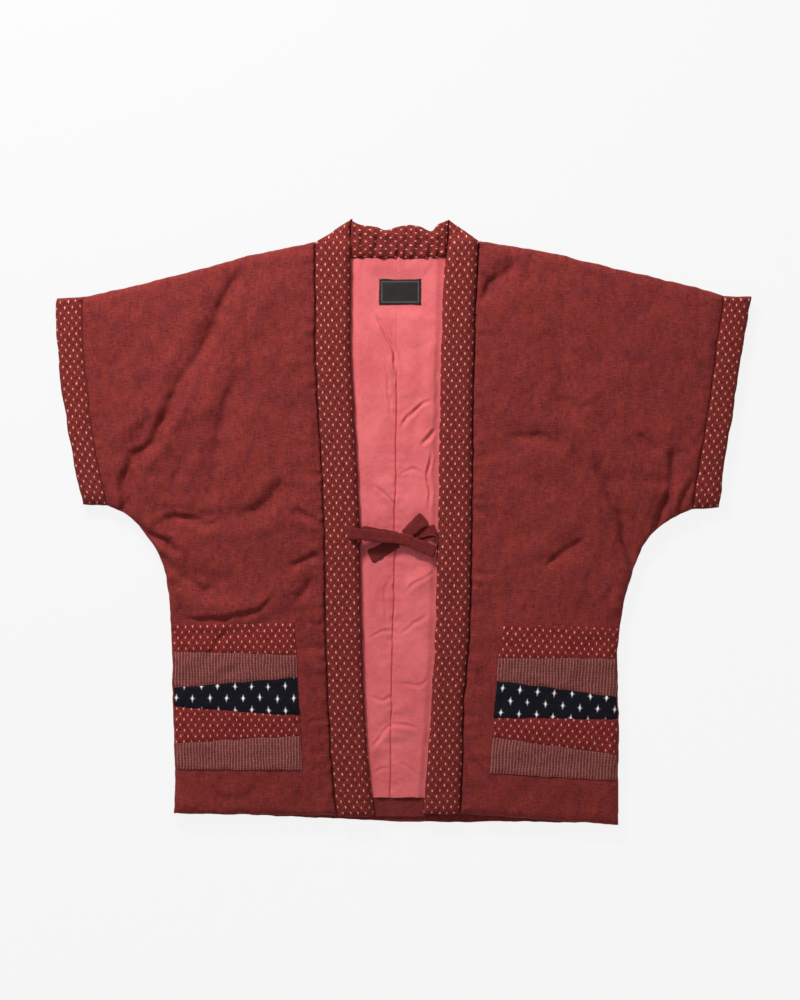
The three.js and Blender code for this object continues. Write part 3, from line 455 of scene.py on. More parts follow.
# %% [markdown]
# A half of the jacket gathers its lines: the side seam under the arm, the cuff seam, the
# shoulder and the hem. A panel's plan is a grid of points over them. The grid is finer near
# the edges, where the padding rolls over.

# %% Outlines of a half
FINER = 7
EDGE_STEPS = [10, 8.2, 6.6, 5.2, 4, 2.9, 2, 1.2, 0.5, 0]
FRONT_INNER_COLUMNS = 26
FRONT_OUTER_COLUMNS = 84
BACK_COLUMNS = 44
BACK_FINER = 3
SEEDS = {"front": (100, 200), "back": (300, 400), "collar": (600, 700), "cuff": (820, 840)}


def outward(side):
    return -1 if side == "right" else 1


def seed_of(part, side):
    return SEEDS[part][SIDES.index(side)]


def seam_x(side, y):
    return look_up(COLLAR_LINES[side], "y", "seam", y)


def fold_x(side, y):
    return look_up(COLLAR_LINES[side], "y", "fold", y)


def make_half(side, finer):
    rows = CROSS_LINES[side]
    steps = [row["steps"] * finer for row in rows]
    names = [row["at"] for row in rows]
    sleeve = names.index("cuff bottom")
    ends = [row["edge"] for row in rows]
    side_line = smooth_line(ends[:sleeve + 1], steps)
    cuff_seam = smooth_line(ends[sleeve:], steps[sleeve:])
    shoulder = [p for p in TOP_EDGE if p[0] * outward(side) >= SHOULDER_POINT_X]
    row_of = {name: sum(steps[:i]) for i, name in enumerate(names)}
    return {
        "side": side,
        "rows": rows,
        "row_of": row_of,
        "seam_y": smooth_line([(i, row["seam_y"]) for i, row in enumerate(rows)], steps)[:, 1],
        "edge": np.vstack([side_line, cuff_seam[1:]]),
        "side_line": side_line,
        "cuff_seam": cuff_seam,
        "shoulder": shoulder,
        "fade_from": row_of["cuff high"],
    }


def front_hem_y(half, x):
    hem = half["rows"][0]
    start = seam_x(half["side"], hem["seam_y"])
    t = (x - start) / (hem["edge"][0] - start)
    return lerp(hem["seam_y"], hem["edge"][1], t)


def panel_plan(half, inner_x, hem_y, shares):
    """Plan points of a panel, rows from the hem up, columns from its inner line out."""
    rows = len(half["edge"])
    top_y = half["seam_y"][-1]
    plan = []
    for row, outer in enumerate(half["edge"]):
        y = hem_y(inner_x(half["seam_y"][0])) if row == 0 else min(half["seam_y"][row], top_y)
        start = np.array([inner_x(y), y])
        length = np.hypot(*(outer - start))
        reach = length - EDGE_STEPS[0]
        inside = shares(y, start[0], length) * reach / length
        across = np.concatenate([inside, 1 - np.array(EDGE_STEPS) / length])
        points = lerp(start, outer, across[:, None])
        x = points[:, 0]
        if row == 0:
            points[:, 1] = lerp(hem_y(x), points[:, 1], across ** 4)
        else:
            bowed = lerp(top_y, half["edge"][-1][1], across)
            rise = np.clip((row - half["fade_from"]) / (rows - 1 - half["fade_from"]), 0, 1)
            points[:, 1] += (between(TOP_EDGE, x) - bowed) * rise
        plan.append(points)
    return np.array(plan)


# %% [markdown]
# A piece of cloth is a closed mesh between two grids, its under and its upper side, joined by
# walls round the rim. Its faces are turned by its own volume, so they always point out. For a
# sheet of thin cloth the size of its plan is worked out, and nothing more is done with it.

# %% A closed piece of cloth
made_pieces = {}
SHARP_ANGLE = math.radians(55)


def ripple(points):
    """Cut edges are never quite straight. One shift over the whole plan keeps seams together."""
    x, y = points[:, 0], points[:, 1]
    moved = points.copy()
    moved[:, 0] += 1.0 * noise(x / 26, y / 21, 31) + 0.45 * noise(x / 9, y / 9, 32)
    moved[:, 1] += 1.0 * noise(x / 21, y / 26, 33) + 0.45 * noise(x / 9, y / 9, 34)
    return moved


def finish_mesh(name, points, faces, cloth_uv=None):
    points = ripple(np.asarray(points, float))
    quads = np.array(faces)
    a, b, c, d = (points[quads[:, i]] for i in range(4))
    volume = (np.cross(a, b) * c).sum() + (np.cross(a, c) * d).sum()
    if volume < 0:
        quads = quads[:, ::-1]
    mesh = bpy.data.meshes.new(name)
    mesh.from_pydata(((points + SHIFT) / 1000).tolist(), [], quads.tolist())
    mesh.polygons.foreach_set("use_smooth", [True] * len(quads))
    mesh.set_sharp_from_angle(angle=SHARP_ANGLE)
    if cloth_uv is not None:
        layer = mesh.uv_layers.new(name="cloth")
        layer.data.foreach_set("uv", (np.asarray(cloth_uv)[quads.ravel()] / 1000).ravel())
    mesh.validate()
    piece = bpy.data.objects.new(name, mesh)
    bpy.context.collection.objects.link(piece)
    made_pieces[name] = piece
    return piece


def grid_faces(rows, columns):
    corner = np.arange(rows * columns).reshape(rows, columns)
    sheet = np.stack([corner[:-1, :-1], corner[:-1, 1:], corner[1:, 1:], corner[1:, :-1]], -1)
    under = sheet.reshape(-1, 4)
    over = under[:, ::-1] + rows * columns
    rim = np.concatenate([corner[0, :-1], corner[:-1, -1], corner[-1, :0:-1], corner[:0:-1, 0]])
    following = np.roll(rim, -1)
    lift = rows * columns
    walls = np.stack([rim, rim + lift, following + lift, following], -1)
    return np.vstack([under, over, walls])


def tube_walls(rings, sides):
    """Faces between rings of points that follow one another."""
    index = np.arange(rings * sides).reshape(rings, sides)
    following = np.roll(index, -1, axis=1)
    return np.stack([index[:-1], following[:-1], following[1:], index[1:]], -1).reshape(-1, 4)


def tube_faces(rings, sides):
    """The walls of a tube and its two ends, each closed by a row of four-sided faces."""
    caps = []
    for base, order in ((0, -1), ((rings - 1) * sides, 1)):
        for k in range(sides // 2 - 1):
            caps.append([base + k, base + k + 1, base + sides - 2 - k, base + sides - 1 - k][::order])
    return np.vstack([tube_walls(rings, sides), caps])


def cloth_piece(name, plan, under, over, cloth_uv=None):
    """A closed piece over a plan, between an under and an over height at each of its points.

    Its measures run on down the walls, so a pattern isn't drawn out there.
    """
    rows, columns = plan.shape[:2]
    low = np.dstack([plan, under]).reshape(-1, 3)
    high = np.dstack([plan, over]).reshape(-1, 3)
    uv = None
    if cloth_uv is not None:
        outer = np.where(np.arange(columns) < columns // 2, -1, 1)
        low_uv = cloth_uv + np.dstack([(over - under) * outer, np.zeros(over.shape)])
        uv = np.vstack([low_uv.reshape(-1, 2), cloth_uv.reshape(-1, 2)])
    return finish_mesh(name, np.vstack([low, high]), grid_faces(rows, columns), uv)


def plan_area(plan):
    """The area of a plan in square metres."""
    p, q, r, s = plan[:-1, :-1], plan[:-1, 1:], plan[1:, 1:], plan[1:, :-1]
    one, two = r - p, s - q
    return abs(one[..., 0] * two[..., 1] - one[..., 1] * two[..., 0]).sum() / 2 / 1e6


def declare_sheet(plan):
    width, length = np.ptp(plan[..., 0]) / 1000, np.ptp(plan[..., 1]) / 1000
    area = min(plan_area(plan), width * length)


# %% [markdown]
# The two fronts. Each is one padded panel with its sleeve. Its outer side takes the rolls of
# its edges, a low crown, the creases of the tables, the uneven lie of the padding, and short
# puckers along every seam.

# %% The fronts
def front_shares(side):
    def shares(y, inner_x, length):
        pocket_x = between(POCKET_INNER[side], y)
        pocket = abs(pocket_x - inner_x) / (length - EDGE_STEPS[0])
        near = pocket * (np.arange(FRONT_INNER_COLUMNS) / FRONT_INNER_COLUMNS) ** 1.25
        far = np.arange(FRONT_OUTER_COLUMNS) / FRONT_OUTER_COLUMNS
        return np.concatenate([near, lerp(pocket, 1, far)])
    return shares


def collar_seam_line(side):
    return [(row["seam"], row["y"]) for row in COLLAR_LINES[side]]


FOLD_DEPTH = {"right": 1.12, "left": 1.0}
HEM_SEAM_Y = -366


def front_height(half, x, y):
    side = half["side"]
    side_away = nearest(half["side_line"], x, y)[0]
    shoulder_away = nearest(half["shoulder"], x, y)[0]
    cuff_away = nearest(half["cuff_seam"], x, y)[0]
    hem_away = np.maximum(0, y - front_hem_y(half, x))
    collar_away = np.abs(x - seam_x(side, y))
    rolls = [
        drop_at(side_away, SIDE_ROLL),
        drop_at(shoulder_away, SIDE_ROLL),
        drop_at(hem_away, HEM_ROLL),
        drop_at(cuff_away, SEAM_ROLL),
        drop_at(collar_away, SEAM_ROLL),
    ]
    inside = np.minimum.reduce([side_away, shoulder_away, cuff_away, hem_away, collar_away])
    crown = FRONT_CROWN * smooth(inside / CROWN_REACH)
    folds = creases(FRONT_CREASES[side], x, y) + creases(FINE_CREASES[side], x, y, 0.95, 1.2)
    seed = seed_of("front", side)
    lie = 1.4 * crumple(x, y, seed) * smooth(inside / 12)
    lie += FOLD_DEPTH[side] * folds * smooth(inside / 4)
    drawn = puckers(collar_seam_line(side), x, y, 2.4, 9, 13, seed + 20)
    drawn += 1.1 * noise(y / 4.5, collar_away / 9, seed + 21) * np.exp(-collar_away / 4.5)
    drawn += puckers(half["cuff_seam"], x, y, 1.5, 9, 12, seed + 30)
    drawn += puckers(half["side_line"], x, y, 1.5, 12, 14, seed + 40)
    drawn += puckers(half["shoulder"], x, y, 1.3, 13, 13, seed + 50)
    hem_line = [(seam_x(side, HEM_SEAM_Y), HEM_SEAM_Y), half["rows"][0]["edge"]]
    drawn += puckers(hem_line, x, y, 1.4, 13, 14, seed + 60)
    height = FRONT_TOP - np.maximum.reduce(rolls) + crown + lie + drawn
    height -= stitched(collar_away, y) + 0.1 * stitched(cuff_away, y + 60)
    return np.maximum(height, FRONT_UNDER + HEM_LIFT[1] + THINNEST)


halves = {side: make_half(side, FINER) for side in SIDES}
for side, half in halves.items():
    def inner(y, side=side):
        return seam_x(side, y) + outward(side) * SEAM_GAP

    plan = panel_plan(half, inner, lambda x, half=half: front_hem_y(half, x), front_shares(side))
    x, y = plan[..., 0], plan[..., 1]
    half["front_plan"] = plan
    half["front_height"] = front_height(half, x, y)
    under = FRONT_UNDER + drop_at(np.maximum(0, y - front_hem_y(half, x)), HEM_LIFT)
    front = cloth_piece(f"front_{side}_padded", plan, under, half["front_height"])
    print(front.name, plan.shape, "highest, mm", half["front_height"].max().round(1))

# %% [markdown]
# The two backs lie on the table. What shows of them is a strip of hem below the fronts and,
# from underneath, their flat outside, where the weight of the jacket presses shallow folds.

# %% The backs
def back_heights(half, x, y):
    sides = nearest(half["edge"], x, y)[0]
    shoulder = nearest(half["shoulder"], x, y)[0]
    seam = np.minimum(sides, shoulder)
    open_seam = np.minimum(nearest(half["side_line"], x, y)[0], shoulder)
    hem = np.maximum(0, y - between(BACK_HEM_LINE, x))
    inner = smooth(seam / RIM_REACH)
    over = BACK_TOP + (RIM_TOP - BACK_TOP) * (1 - inner) - drop_at(hem, BACK_HEM) * inner
    under = np.maximum(drop_at(open_seam, BACK_EDGE), drop_at(hem, BACK_EDGE) * 0.6)
    seed = seed_of("back", half["side"])
    centre = np.abs(x - between(CENTRE_SEAM, y))
    pressed = 1.3 * crumple(x * 0.8, y * 0.8, seed) - 0.55
    channel = 1.1 * np.exp(-(centre / 3.5) ** 2)
    seam_line = [(seam_at, v) for v, seam_at in CENTRE_SEAM]
    tufts = puckers(seam_line, x, y, 0.9, 12, 14, seed + 9)
    relief = np.maximum(0, pressed + tufts) * smooth(np.minimum(open_seam, hem) / 12)
    return under + np.maximum(relief, channel), over


for side in SIDES:
    half = make_half(side, BACK_FINER)
    plan = panel_plan(
        half,
        lambda y: between(CENTRE_SEAM, y),
        lambda x: between(BACK_HEM_LINE, x),
        lambda y, inner_x, length: np.arange(BACK_COLUMNS) / BACK_COLUMNS,
    )
    under, over = back_heights(half, plan[..., 0], plan[..., 1])
    back = cloth_piece(f"back_{side}_padded", plan, under, over)
    print(back.name, plan.shape)

# %% [markdown]
# The lining is a plain pink cotton with a seam down its middle. It is a little too wide for
# the back, so it lies in a few soft ridges and many fine sharp creases. Below the label its
# seam is drawn tight, and the cloth swells on either side. At the hem the shell cloth is turned
# up over it as a facing.

# %% The lining and the hem facing
FACING_TOP_Y = -344
FACING_HEM_Y = -368
LINING_UNDER_COLLAR = 14
LINING_UNDER_NECK = 3
LINING_RIDGES = [
    bow((-42, 262), (-22, 225), (-10, 176), 7, -1.5),
    bow((38, 246), (30, 150), (26, 40), 8, -1.1),
    bow((-38, 60), (-20, 40), (-8, 18), 7, -1.3),
    bow((-40, -294), (-14, -250), (18, -262), 9, -1.5),
    bow((0, -82), (18, -76), (36, -62), 8, -1.3),
    trace(1.8, 2.8, (-36, 268), (-29, 250), (-21, 232), (-12, 213), (-8, 180)),
    trace(1.9, 0.8, (-23, 217), (-19, 170), (-14, 126)),
    trace(1.9, 0.7, (36, 262), (44, 240), (43, 180), (41, 120)),
    trace(1.8, 2.0, (33, 96), (31.5, 60), (31, 8)),
    trace(1.9, 0.9, (-44, 49), (-22, 36), (-7, 17)),
    trace(1.9, 1.7, (-4, 114), (6, 134), (20, 146), (38, 152)),
    trace(1.9, 1.9, (20, 96), (32, 104), (40, 118)),
    trace(1.9, 0.7, (-6, 60), (12, 66), (30, 60)),
    trace(1.9, 0.8, (-47, -147), (-30, -138), (-12, -134)),
    trace(2.0, 1.0, (-44, -296), (-30, -268), (-14, -255), (24, -258)),
    trace(1.9, 0.8, (0, -88), (20, -74), (44, -57)),
    trace(1.9, 0.7, (-48, 0), (-34, -30), (-20, -62)),
    trace(1.9, 0.7, (34, -112), (18, -124), (-8, -142)),
    trace(1.9, 0.7, (-44, -215), (-26, -222), (-10, -212)),
    trace(1.9, 0.7, (34, -196), (18, -204), (-8, -199)),
    trace(1.9, 0.6, (-40, -316), (-26, -308), (-16, -312)),
    trace(1.9, 0.6, (22, -318), (6, -306), (-10, -300)),
    trace(1.9, 0.6, (-16, -60), (-24, -100), (-18, -140)),
    trace(1.9, 0.6, (4, -30), (20, -46), (38, -40)),
]


def lining_plan(side, from_y, to_y, rows, columns):
    y = np.linspace(from_y, to_y, rows)[:, None]
    centre = between(CENTRE_SEAM, y)
    outer = fold_x(side, y) + outward(side) * LINING_UNDER_COLLAR
    t = np.linspace(0, 1, columns)[None, :] ** 1.4
    x = lerp(centre, outer, t)
    return np.dstack([x, np.broadcast_to(y, x.shape)])


def lining_height(side, x, y):
    clear = outward(side) * (fold_x(side, y) - x)
    from_label_x = np.maximum(LABEL["right"] - x, x - LABEL["left"])
    from_label_y = np.maximum(LABEL["bottom"] - y, y - LABEL["top"])
    show = smooth((clear - 1) / 9) * smooth((np.maximum(from_label_x, from_label_y) + 1) / 20)
    ridges = creases(LINING_RIDGES, x, y)
    lie = 0.55 * noise(x / 24, y / 34, 501) + 0.25 * noise(x / 9, y / 13, 502)
    centre = np.abs(x - between(CENTRE_SEAM, y))
    taut = smooth((205 - y) / 45)
    swell = 1.9 + 0.5 * taut * (1 - np.exp(-((centre / 8) ** 2)))
    drawn = 0.9 * taut * noise(y / 8, centre / 22, 503) * np.exp(-centre / 11) * smooth(centre / 2)
    groove = (0.4 + 1.9 * taut) * np.exp(-((centre / 1.1) ** 2))
    pulled = 0.6 * noise(x / 6.5, y / 26, 504) * np.exp(-(NECKLINE_Y - y) / 16)
    return RIM_TOP + np.maximum(-0.6, ridges + lie + swell + drawn + pulled - groove) * show


for side in SIDES:
    plan = lining_plan(side, FACING_TOP_Y, NECKLINE_Y + LINING_UNDER_NECK, 420, 56)
    over = lining_height(side, plan[..., 0], plan[..., 1])
    under = np.full(over.shape, BACK_TOP + SEAM_GAP)
    lining = cloth_piece(f"lining_{side}_cloth", plan, under, over)
    declare_sheet(plan)
    plan = lining_plan(side, FACING_HEM_Y, FACING_TOP_Y, 16, 32)
    y = plan[..., 1]
    fold = 0.6 * np.exp(-((FACING_TOP_Y - y) / 3) ** 2)
    over = RIM_TOP - 0.5 + fold + 0.15 * noise(plan[..., 0] / 9, y / 9, 511)
    under = np.full(over.shape, BACK_TOP + SEAM_GAP)
    facing = cloth_piece(f"hem_facing_{side}_cloth", plan, under, over)
    declare_sheet(plan)
print("lining and facing made")

# %% [markdown]
# The collar is one long padded band. It runs up both fronts, turns over each shoulder and
# goes round the back of the neck, where it is gathered. A second set of measures goes into
# its UV map, in real distances from its seam and along it, so the woven dots follow the band.

# %% The collar strips
COLLAR_DROOP = {"start": 10, "slope": 0.4, "most": 7}


def collar_plan(side, spacing, columns):
    table = COLLAR_LINES[side]
    first, turn, last = table[0]["y"], table[-2]["y"], table[-1]["y"]
    count = int((turn - first) / spacing)
    y = np.concatenate([
        first + np.array([0, 0.4, 1, 1.8]), np.linspace(first + 3, turn, count),
        np.linspace(turn, last, 14)[1:],
    ])
    part = np.clip((y - turn) / (last - turn), 0, 1)
    fold_y = y + (COLLAR_END_FOLD_Y[side] - last) * part
    seam = np.stack([seam_x(side, y), y], -1)
    fold = np.stack([fold_x(side, y), fold_y], -1)
    t = eased(np.linspace(0, 1, columns))
    return lerp(seam[:, None], fold[:, None], t[None, :, None])


def collar_droop(x, y):
    past = y - between(TOP_EDGE, x) - COLLAR_DROOP["start"]
    return np.clip(past * COLLAR_DROOP["slope"], 0, COLLAR_DROOP["most"])


def collar_heights(side, x, y):
    table = COLLAR_LINES[side]
    seam = np.abs(x - seam_x(side, y))
    fold = np.abs(x - fold_x(side, y))
    end = [(table[-1]["seam"], table[-1]["y"]), (table[-1]["fold"], COLLAR_END_FOLD_Y[side])]
    ends = np.maximum(0, np.minimum(y - table[0]["y"], nearest(end, x, y)[0]))
    rolls = [drop_at(seam, COLLAR_ROLL), drop_at(fold, COLLAR_FOLD_ROLL), drop_at(ends, HEM_ROLL)]
    drop = np.maximum.reduce(rolls) + stitched(seam, y)
    seed = seed_of("collar", side)
    rim = np.minimum(seam, fold)
    swell = 0.7 * noise(x / 40, y / 46, seed) + 0.5 * noise(x / 30, y / 17, seed + 1)
    drawn = 0.8 * noise(seam / 26, y / 7.5, seed + 2) * np.exp(-seam / 10) * smooth(seam / 3)
    drawn += 0.6 * noise(fold / 26, y / 9, seed + 3) * np.exp(-fold / 9) * smooth(fold / 3)
    over = COLLAR_TOP - drop + swell * smooth(rim / 10) + drawn - collar_droop(x, y)
    under = FRONT_UNDER + drop_at(fold, COLLAR_FOLD_LIFT) - collar_droop(x, y)
    return under, np.maximum(over, under + 0.5)


for side in SIDES:
    plan = collar_plan(side, 2.4, 30)
    x, y = plan[..., 0], plan[..., 1]
    under, over = collar_heights(side, x, y)
    across = np.abs(x - seam_x(side, y))
    collar = cloth_piece(f"collar_{side}_padded", plan, under, over, np.dstack([across, y]))
    print(collar.name, plan.shape, "highest, mm", over.max().round(1))

# %% [markdown]
# Round the neck the band is drawn together, so its free edge waves and its face is crossed by
# small gathers, deep at the seam and soft at the fold.

# %% The neck band
NECK_BAND = {"top": 14.0, "seam_top": 8.6, "fold_drop": 7.0, "fold_lift": 3.5, "reach": 12.0}
NECK_TUCK = (8.0, 4.5)
NECK_GATHERS = {"count": 9, "height": 1.3}
NECK_FULLNESS = 1.08


def neck_plan(rows, columns):
    seam_x_row = np.linspace(NECK_LINES[0]["seam_x"], NECK_LINES[-1]["seam_x"], rows)
    seam = np.stack([seam_x_row, look_up(NECK_LINES, "seam_x", "seam_y", seam_x_row) - SEAM_GAP], -1)
    keys = [row["seam_x"] for row in NECK_LINES]
    fold_points = [(row["fold_x"], row["fold_y"]) for row in NECK_LINES]
    folds = smooth_line(fold_points, [12] * (len(fold_points) - 1))
    fold_x_row = np.interp(seam_x_row, keys, [row["fold_x"] for row in NECK_LINES])
    fold = np.stack([fold_x_row, np.interp(fold_x_row, folds[:, 0], folds[:, 1])], -1)
    for ends in (seam, fold):
        ends[0, 0] -= 2 * SEAM_GAP
        ends[-1, 0] += 2 * SEAM_GAP
    t = eased(np.linspace(0, 1, columns))
    return lerp(seam[:, None], fold[:, None], t[None, :, None]), fold


neck, neck_fold = neck_plan(170, 24)
x, y = neck[..., 0], neck[..., 1]
to_fold = np.maximum(0, np.interp(x, neck_fold[:, 0], neck_fold[:, 1]) - y)
to_seam = np.maximum(0, y - look_up(NECK_LINES, "seam_x", "seam_y", x))
to_end = np.maximum(0, np.minimum(x - neck[0, 0, 0], neck[-1, 0, 0] - x))
rolls = np.maximum.reduce([
    drop_at(to_seam, (NECK_BAND["reach"], NECK_BAND["top"] - NECK_BAND["seam_top"])),
    drop_at(to_fold, (NECK_BAND["reach"], NECK_BAND["fold_drop"])),
    drop_at(to_end, NECK_TUCK),
])
phase = (x - neck[0, 0, 0]) / (neck[-1, 0, 0] - neck[0, 0, 0])
lean = 0.05 * noise(phase * 4, y / 30, 801)
gathers = NECK_GATHERS["height"] * np.cos(2 * np.pi * NECK_GATHERS["count"] * (phase + lean))
gathers += 2.0 * noise(x / 6.5, y / 20, 802) + 0.6 * noise(x / 14, y / 11, 803)
over = NECK_BAND["top"] - rolls + gathers * smooth(to_fold / NECK_BAND["reach"]) * smooth(to_seam / 4)
under = drop_at(to_fold, (NECK_BAND["reach"], NECK_BAND["fold_lift"]))
neck_band = cloth_piece("collar_back_padded", neck, under, over, np.dstack([to_seam, x * NECK_FULLNESS]))
print(neck_band.name, neck.shape)

# %% [markdown]
# A cuff is a band of the dotted cloth round the end of the sleeve. Flattened on the table it
# is a ring with a slit through it, full at the seam and thin at the open mouth. It is swept
# from the seam to the mouth as a loop of outer points and a loop of inner points.

# %% The cuffs
CUFF_MIDDLE = 8.2
CUFF_SLIT = 0.7
CUFF_SLIT_INSET = 0.035
CUFF_SWAY = 0.9
CUFF_PROFILE = rows_of(("across", "front", "back", "slit"), [
    (0.0, 0.66, 1.0, 1.0), (0.13, 0.92, 1.0, 1.0), (0.4, 1.0, 1.0, 1.0),
    (0.72, 0.98, 1.0, 1.2), (0.92, 0.84, 0.8, 1.6), (1.0, 0.5, 0.5, 2.0),
])
CUFF_ALONG = 96
CUFF_ACROSS = [0, 0.03, 0.07, 0.13, 0.2, 0.3, 0.4, 0.5, 0.6, 0.7, 0.78, 0.85, 0.91, 0.95, 0.98, 1]


def place_on(line, share):
    at = np.clip(share, 0, 1) * (len(line) - 1)
    steps = np.arange(len(line))
    return np.stack([np.interp(at, steps, line[:, 0]), np.interp(at, steps, line[:, 1])], -1)


def length_at(line, share):
    """How far along a line a share of its points lies."""
    at = np.clip(share, 0, 1) * (len(line) - 1)
    return np.interp(at, np.arange(len(line)), run_along(line))


def make_cuff(side):
    half = halves[side]
    rows = [row for row in half["rows"] if "mouth" in row]
    seam = half["cuff_seam"]
    mouth = smooth_line([row["mouth"] for row in rows], [row["steps"] * FINER for row in rows])
    length = np.hypot(*(seam[0] - seam[-1]))
    around = CUFF_ALONG * 2
    k = np.arange(around)
    front = k <= CUFF_ALONG
    q = eased(np.where(front, k / CUFF_ALONG, 2 - k / CUFF_ALONG))
    slit_q = CUFF_SLIT_INSET + (1 - 2 * CUFF_SLIT_INSET) * q
    end = 1 - np.clip(np.minimum(q, 1 - q) * length / SIDE_ROLL[0], 0, 1)
    rounding = np.sqrt(1 - end ** 2)
    clear_x = outward(side) * SEAM_GAP
    width = np.hypot(*(place_on(mouth, q) - place_on(seam, q)).T)
    seed = seed_of("cuff", side)
    sway = outward(side) * CUFF_SWAY * noise(q * length / 34, 5.5, seed + 2)
    points, measures = [], []
    for across in CUFF_ACROSS:
        section = {key: look_up(CUFF_PROFILE, "across", key, across) for key in ("front", "back", "slit")}
        full = np.where(front, section["front"], -section["back"])
        wave = 0.55 * noise(q * length / 9, across * 1.2 + 3.3, seed)
        wave *= (1 - across) ** 0.7 * smooth(across / 0.1)
        wave += 0.35 * noise(q * length / 26, across * 1.5 + 9.1, seed + 1)
        height = CUFF_MIDDLE + CUFF_MIDDLE * full * rounding + np.where(front, wave * rounding, 0)
        at = lerp(place_on(seam, q), place_on(mouth, q), across)
        at[:, 0] += clear_x + sway * across ** 2
        within = lerp(place_on(seam, slit_q), place_on(mouth, slit_q), across)
        spread = np.where(front, CUFF_SLIT, -CUFF_SLIT) * section["slit"] * np.sin(np.pi * q)
        within[:, 0] = np.where(across == 1, at[:, 0], within[:, 0] + clear_x)
        points.append(np.column_stack([at, np.maximum(height, 0)]))
        points.append(np.column_stack([within, CUFF_MIDDLE + spread]))
        measures += [np.column_stack([across * width, length_at(seam, q)])] * 2
    ring = np.arange(around)
    following = np.roll(ring, -1)

    def strip(one, other):
        one, other = one * around, other * around
        return np.stack([one + ring, one + following, other + following, other + ring], -1)

    last = 2 * len(CUFF_ACROSS) - 2
    faces = []
    for outer in range(0, last, 2):
        faces += [strip(outer, outer + 2), strip(outer + 1, outer + 3)[:, ::-1]]
    faces += [strip(0, 1)[:, ::-1], strip(last, last + 1)]
    return finish_mesh(f"cuff_{side}_padded", np.vstack(points), np.vstack(faces), np.vstack(measures))


for side in SIDES:
    cuff = make_cuff(side)
    print(cuff.name, len(cuff.data.vertices))

# %% [markdown]
# Each patch pocket is pieced from five strips: dots, check, crosses, dots and check, from its
# mouth down. The strips are thin cloth on the padded front, so they are made from the front's
# own points, lifted by a hair. At each seam between two strips the cloth dips. The measures of
# each strip are turned a little, the way its weave lies. The crosses start from one whose place
# was measured, and on the right they lie a little closer, because that strip is eased in.

# %% The pockets
POCKET_ROWS = ["pocket hem", *(f"pocket seam {n}" for n in (4, 3, 2, 1)), "pocket top"]
POCKET_CLOTHS = ["check", "dots", "crosses", "check", "dots"]
POCKET_TURN = {
    "right": [0.8, 0.2, 0.0, 0.5, 1.2],
    "left": [-4.5, -5.5, -5.2, -2.5, -3.2],
}
STRIP_DIP = (5, 0.9)
POCKET_RIM = (4, 0.8)
CROSS_PITCH = (21.7, 14.9)
CROSS_ANCHOR = {"right": (-199.6, -219.5), "left": (154.9, -224.6)}
CROSS_EASE = {"right": 1.036, "left": 1.0}
pocket_cloth = {}
for side, half in halves.items():
    plan = half["front_plan"][:, FRONT_INNER_COLUMNS:-3]
    base = half["front_height"][:, FRONT_INNER_COLUMNS:-3]
    top_strip = len(POCKET_CLOTHS) - 1
    for index, cloth in enumerate(POCKET_CLOTHS):
        first, last = half["row_of"][POCKET_ROWS[index]], half["row_of"][POCKET_ROWS[index + 1]]
        strip = plan[first:last + 1].copy()
        under = base[first:last + 1] + SEAM_GAP
        low_y = strip[0, :, 1].copy()
        high_y = strip[-1, :, 1].copy()
        strip[0, :, 1] += SEAM_GAP / 2 if index > 0 else 0
        strip[-1, :, 1] -= SEAM_GAP / 2 if index < top_strip else 0
        x, y = strip[..., 0], strip[..., 1]
        dip = np.maximum(drop_at(y - low_y, STRIP_DIP), drop_at(high_y - y, STRIP_DIP))
        inner_rim = drop_at(np.abs(x - x[:, :1]), POCKET_RIM)
        slack = 0.25 * noise(x / 12, y / 12, 900 + index)
        over = under + POCKET_THICK - np.maximum(dip, inner_rim) + slack
        turn = math.radians(POCKET_TURN[side][index])
        anchor = CROSS_ANCHOR[side] if cloth == "crosses" else (0, 0)
        from_x, from_y = x - anchor[0], y - anchor[1]
        u = (from_x * math.cos(turn) + from_y * math.sin(turn)) * CROSS_EASE[side]
        u = u + CROSS_PITCH[0] / 4 + 0.5 * noise(x / 40, y / 40, 950 + index)
        v = from_y * math.cos(turn) - from_x * math.sin(turn)
        v = v + CROSS_PITCH[1] / 2 + 0.5 * noise(x / 40, y / 40, 960 + index)
        name = f"pocket_{side}_{len(POCKET_CLOTHS) - index}_cloth"
        piece = cloth_piece(name, strip, under, over, np.dstack([u, v]))
        declare_sheet(strip)
        pocket_cloth[name] = cloth
print("pocket strips", len(pocket_cloth))

# %% [markdown]
# The label is a small black woven tape on the lining below the neck. It stays blank.

# %% The label
label_x, label_y = np.meshgrid(
    np.linspace(LABEL["right"], LABEL["left"], 40),
    np.linspace(LABEL["bottom"], LABEL["top"], 30),
)
label_plan = np.dstack([label_x, label_y])
rim = np.minimum.reduce([
    label_x - LABEL["right"], LABEL["left"] - label_x, label_y - LABEL["bottom"], LABEL["top"] - label_y,
])
label_lie = 0.35 * noise(label_x / 15, label_y / 12, 971) * smooth(rim / 4) - drop_at(rim, (2.5, 0.35))
label_under = np.full(label_x.shape, LABEL["under"])
label = cloth_piece("label_tape", label_plan, label_under, LABEL["under"] + LABEL["thick"] + label_lie)
declare_sheet(label_plan)
print(label.name, label_plan.shape)

# %% [markdown]
# The two ties are narrow tubes of the shell cloth, pressed flat and tied in a bow. Each run
# is swept along a curve with a rounded section that has a faint groove down its middle. A
# loop runs out and doubles back over itself.

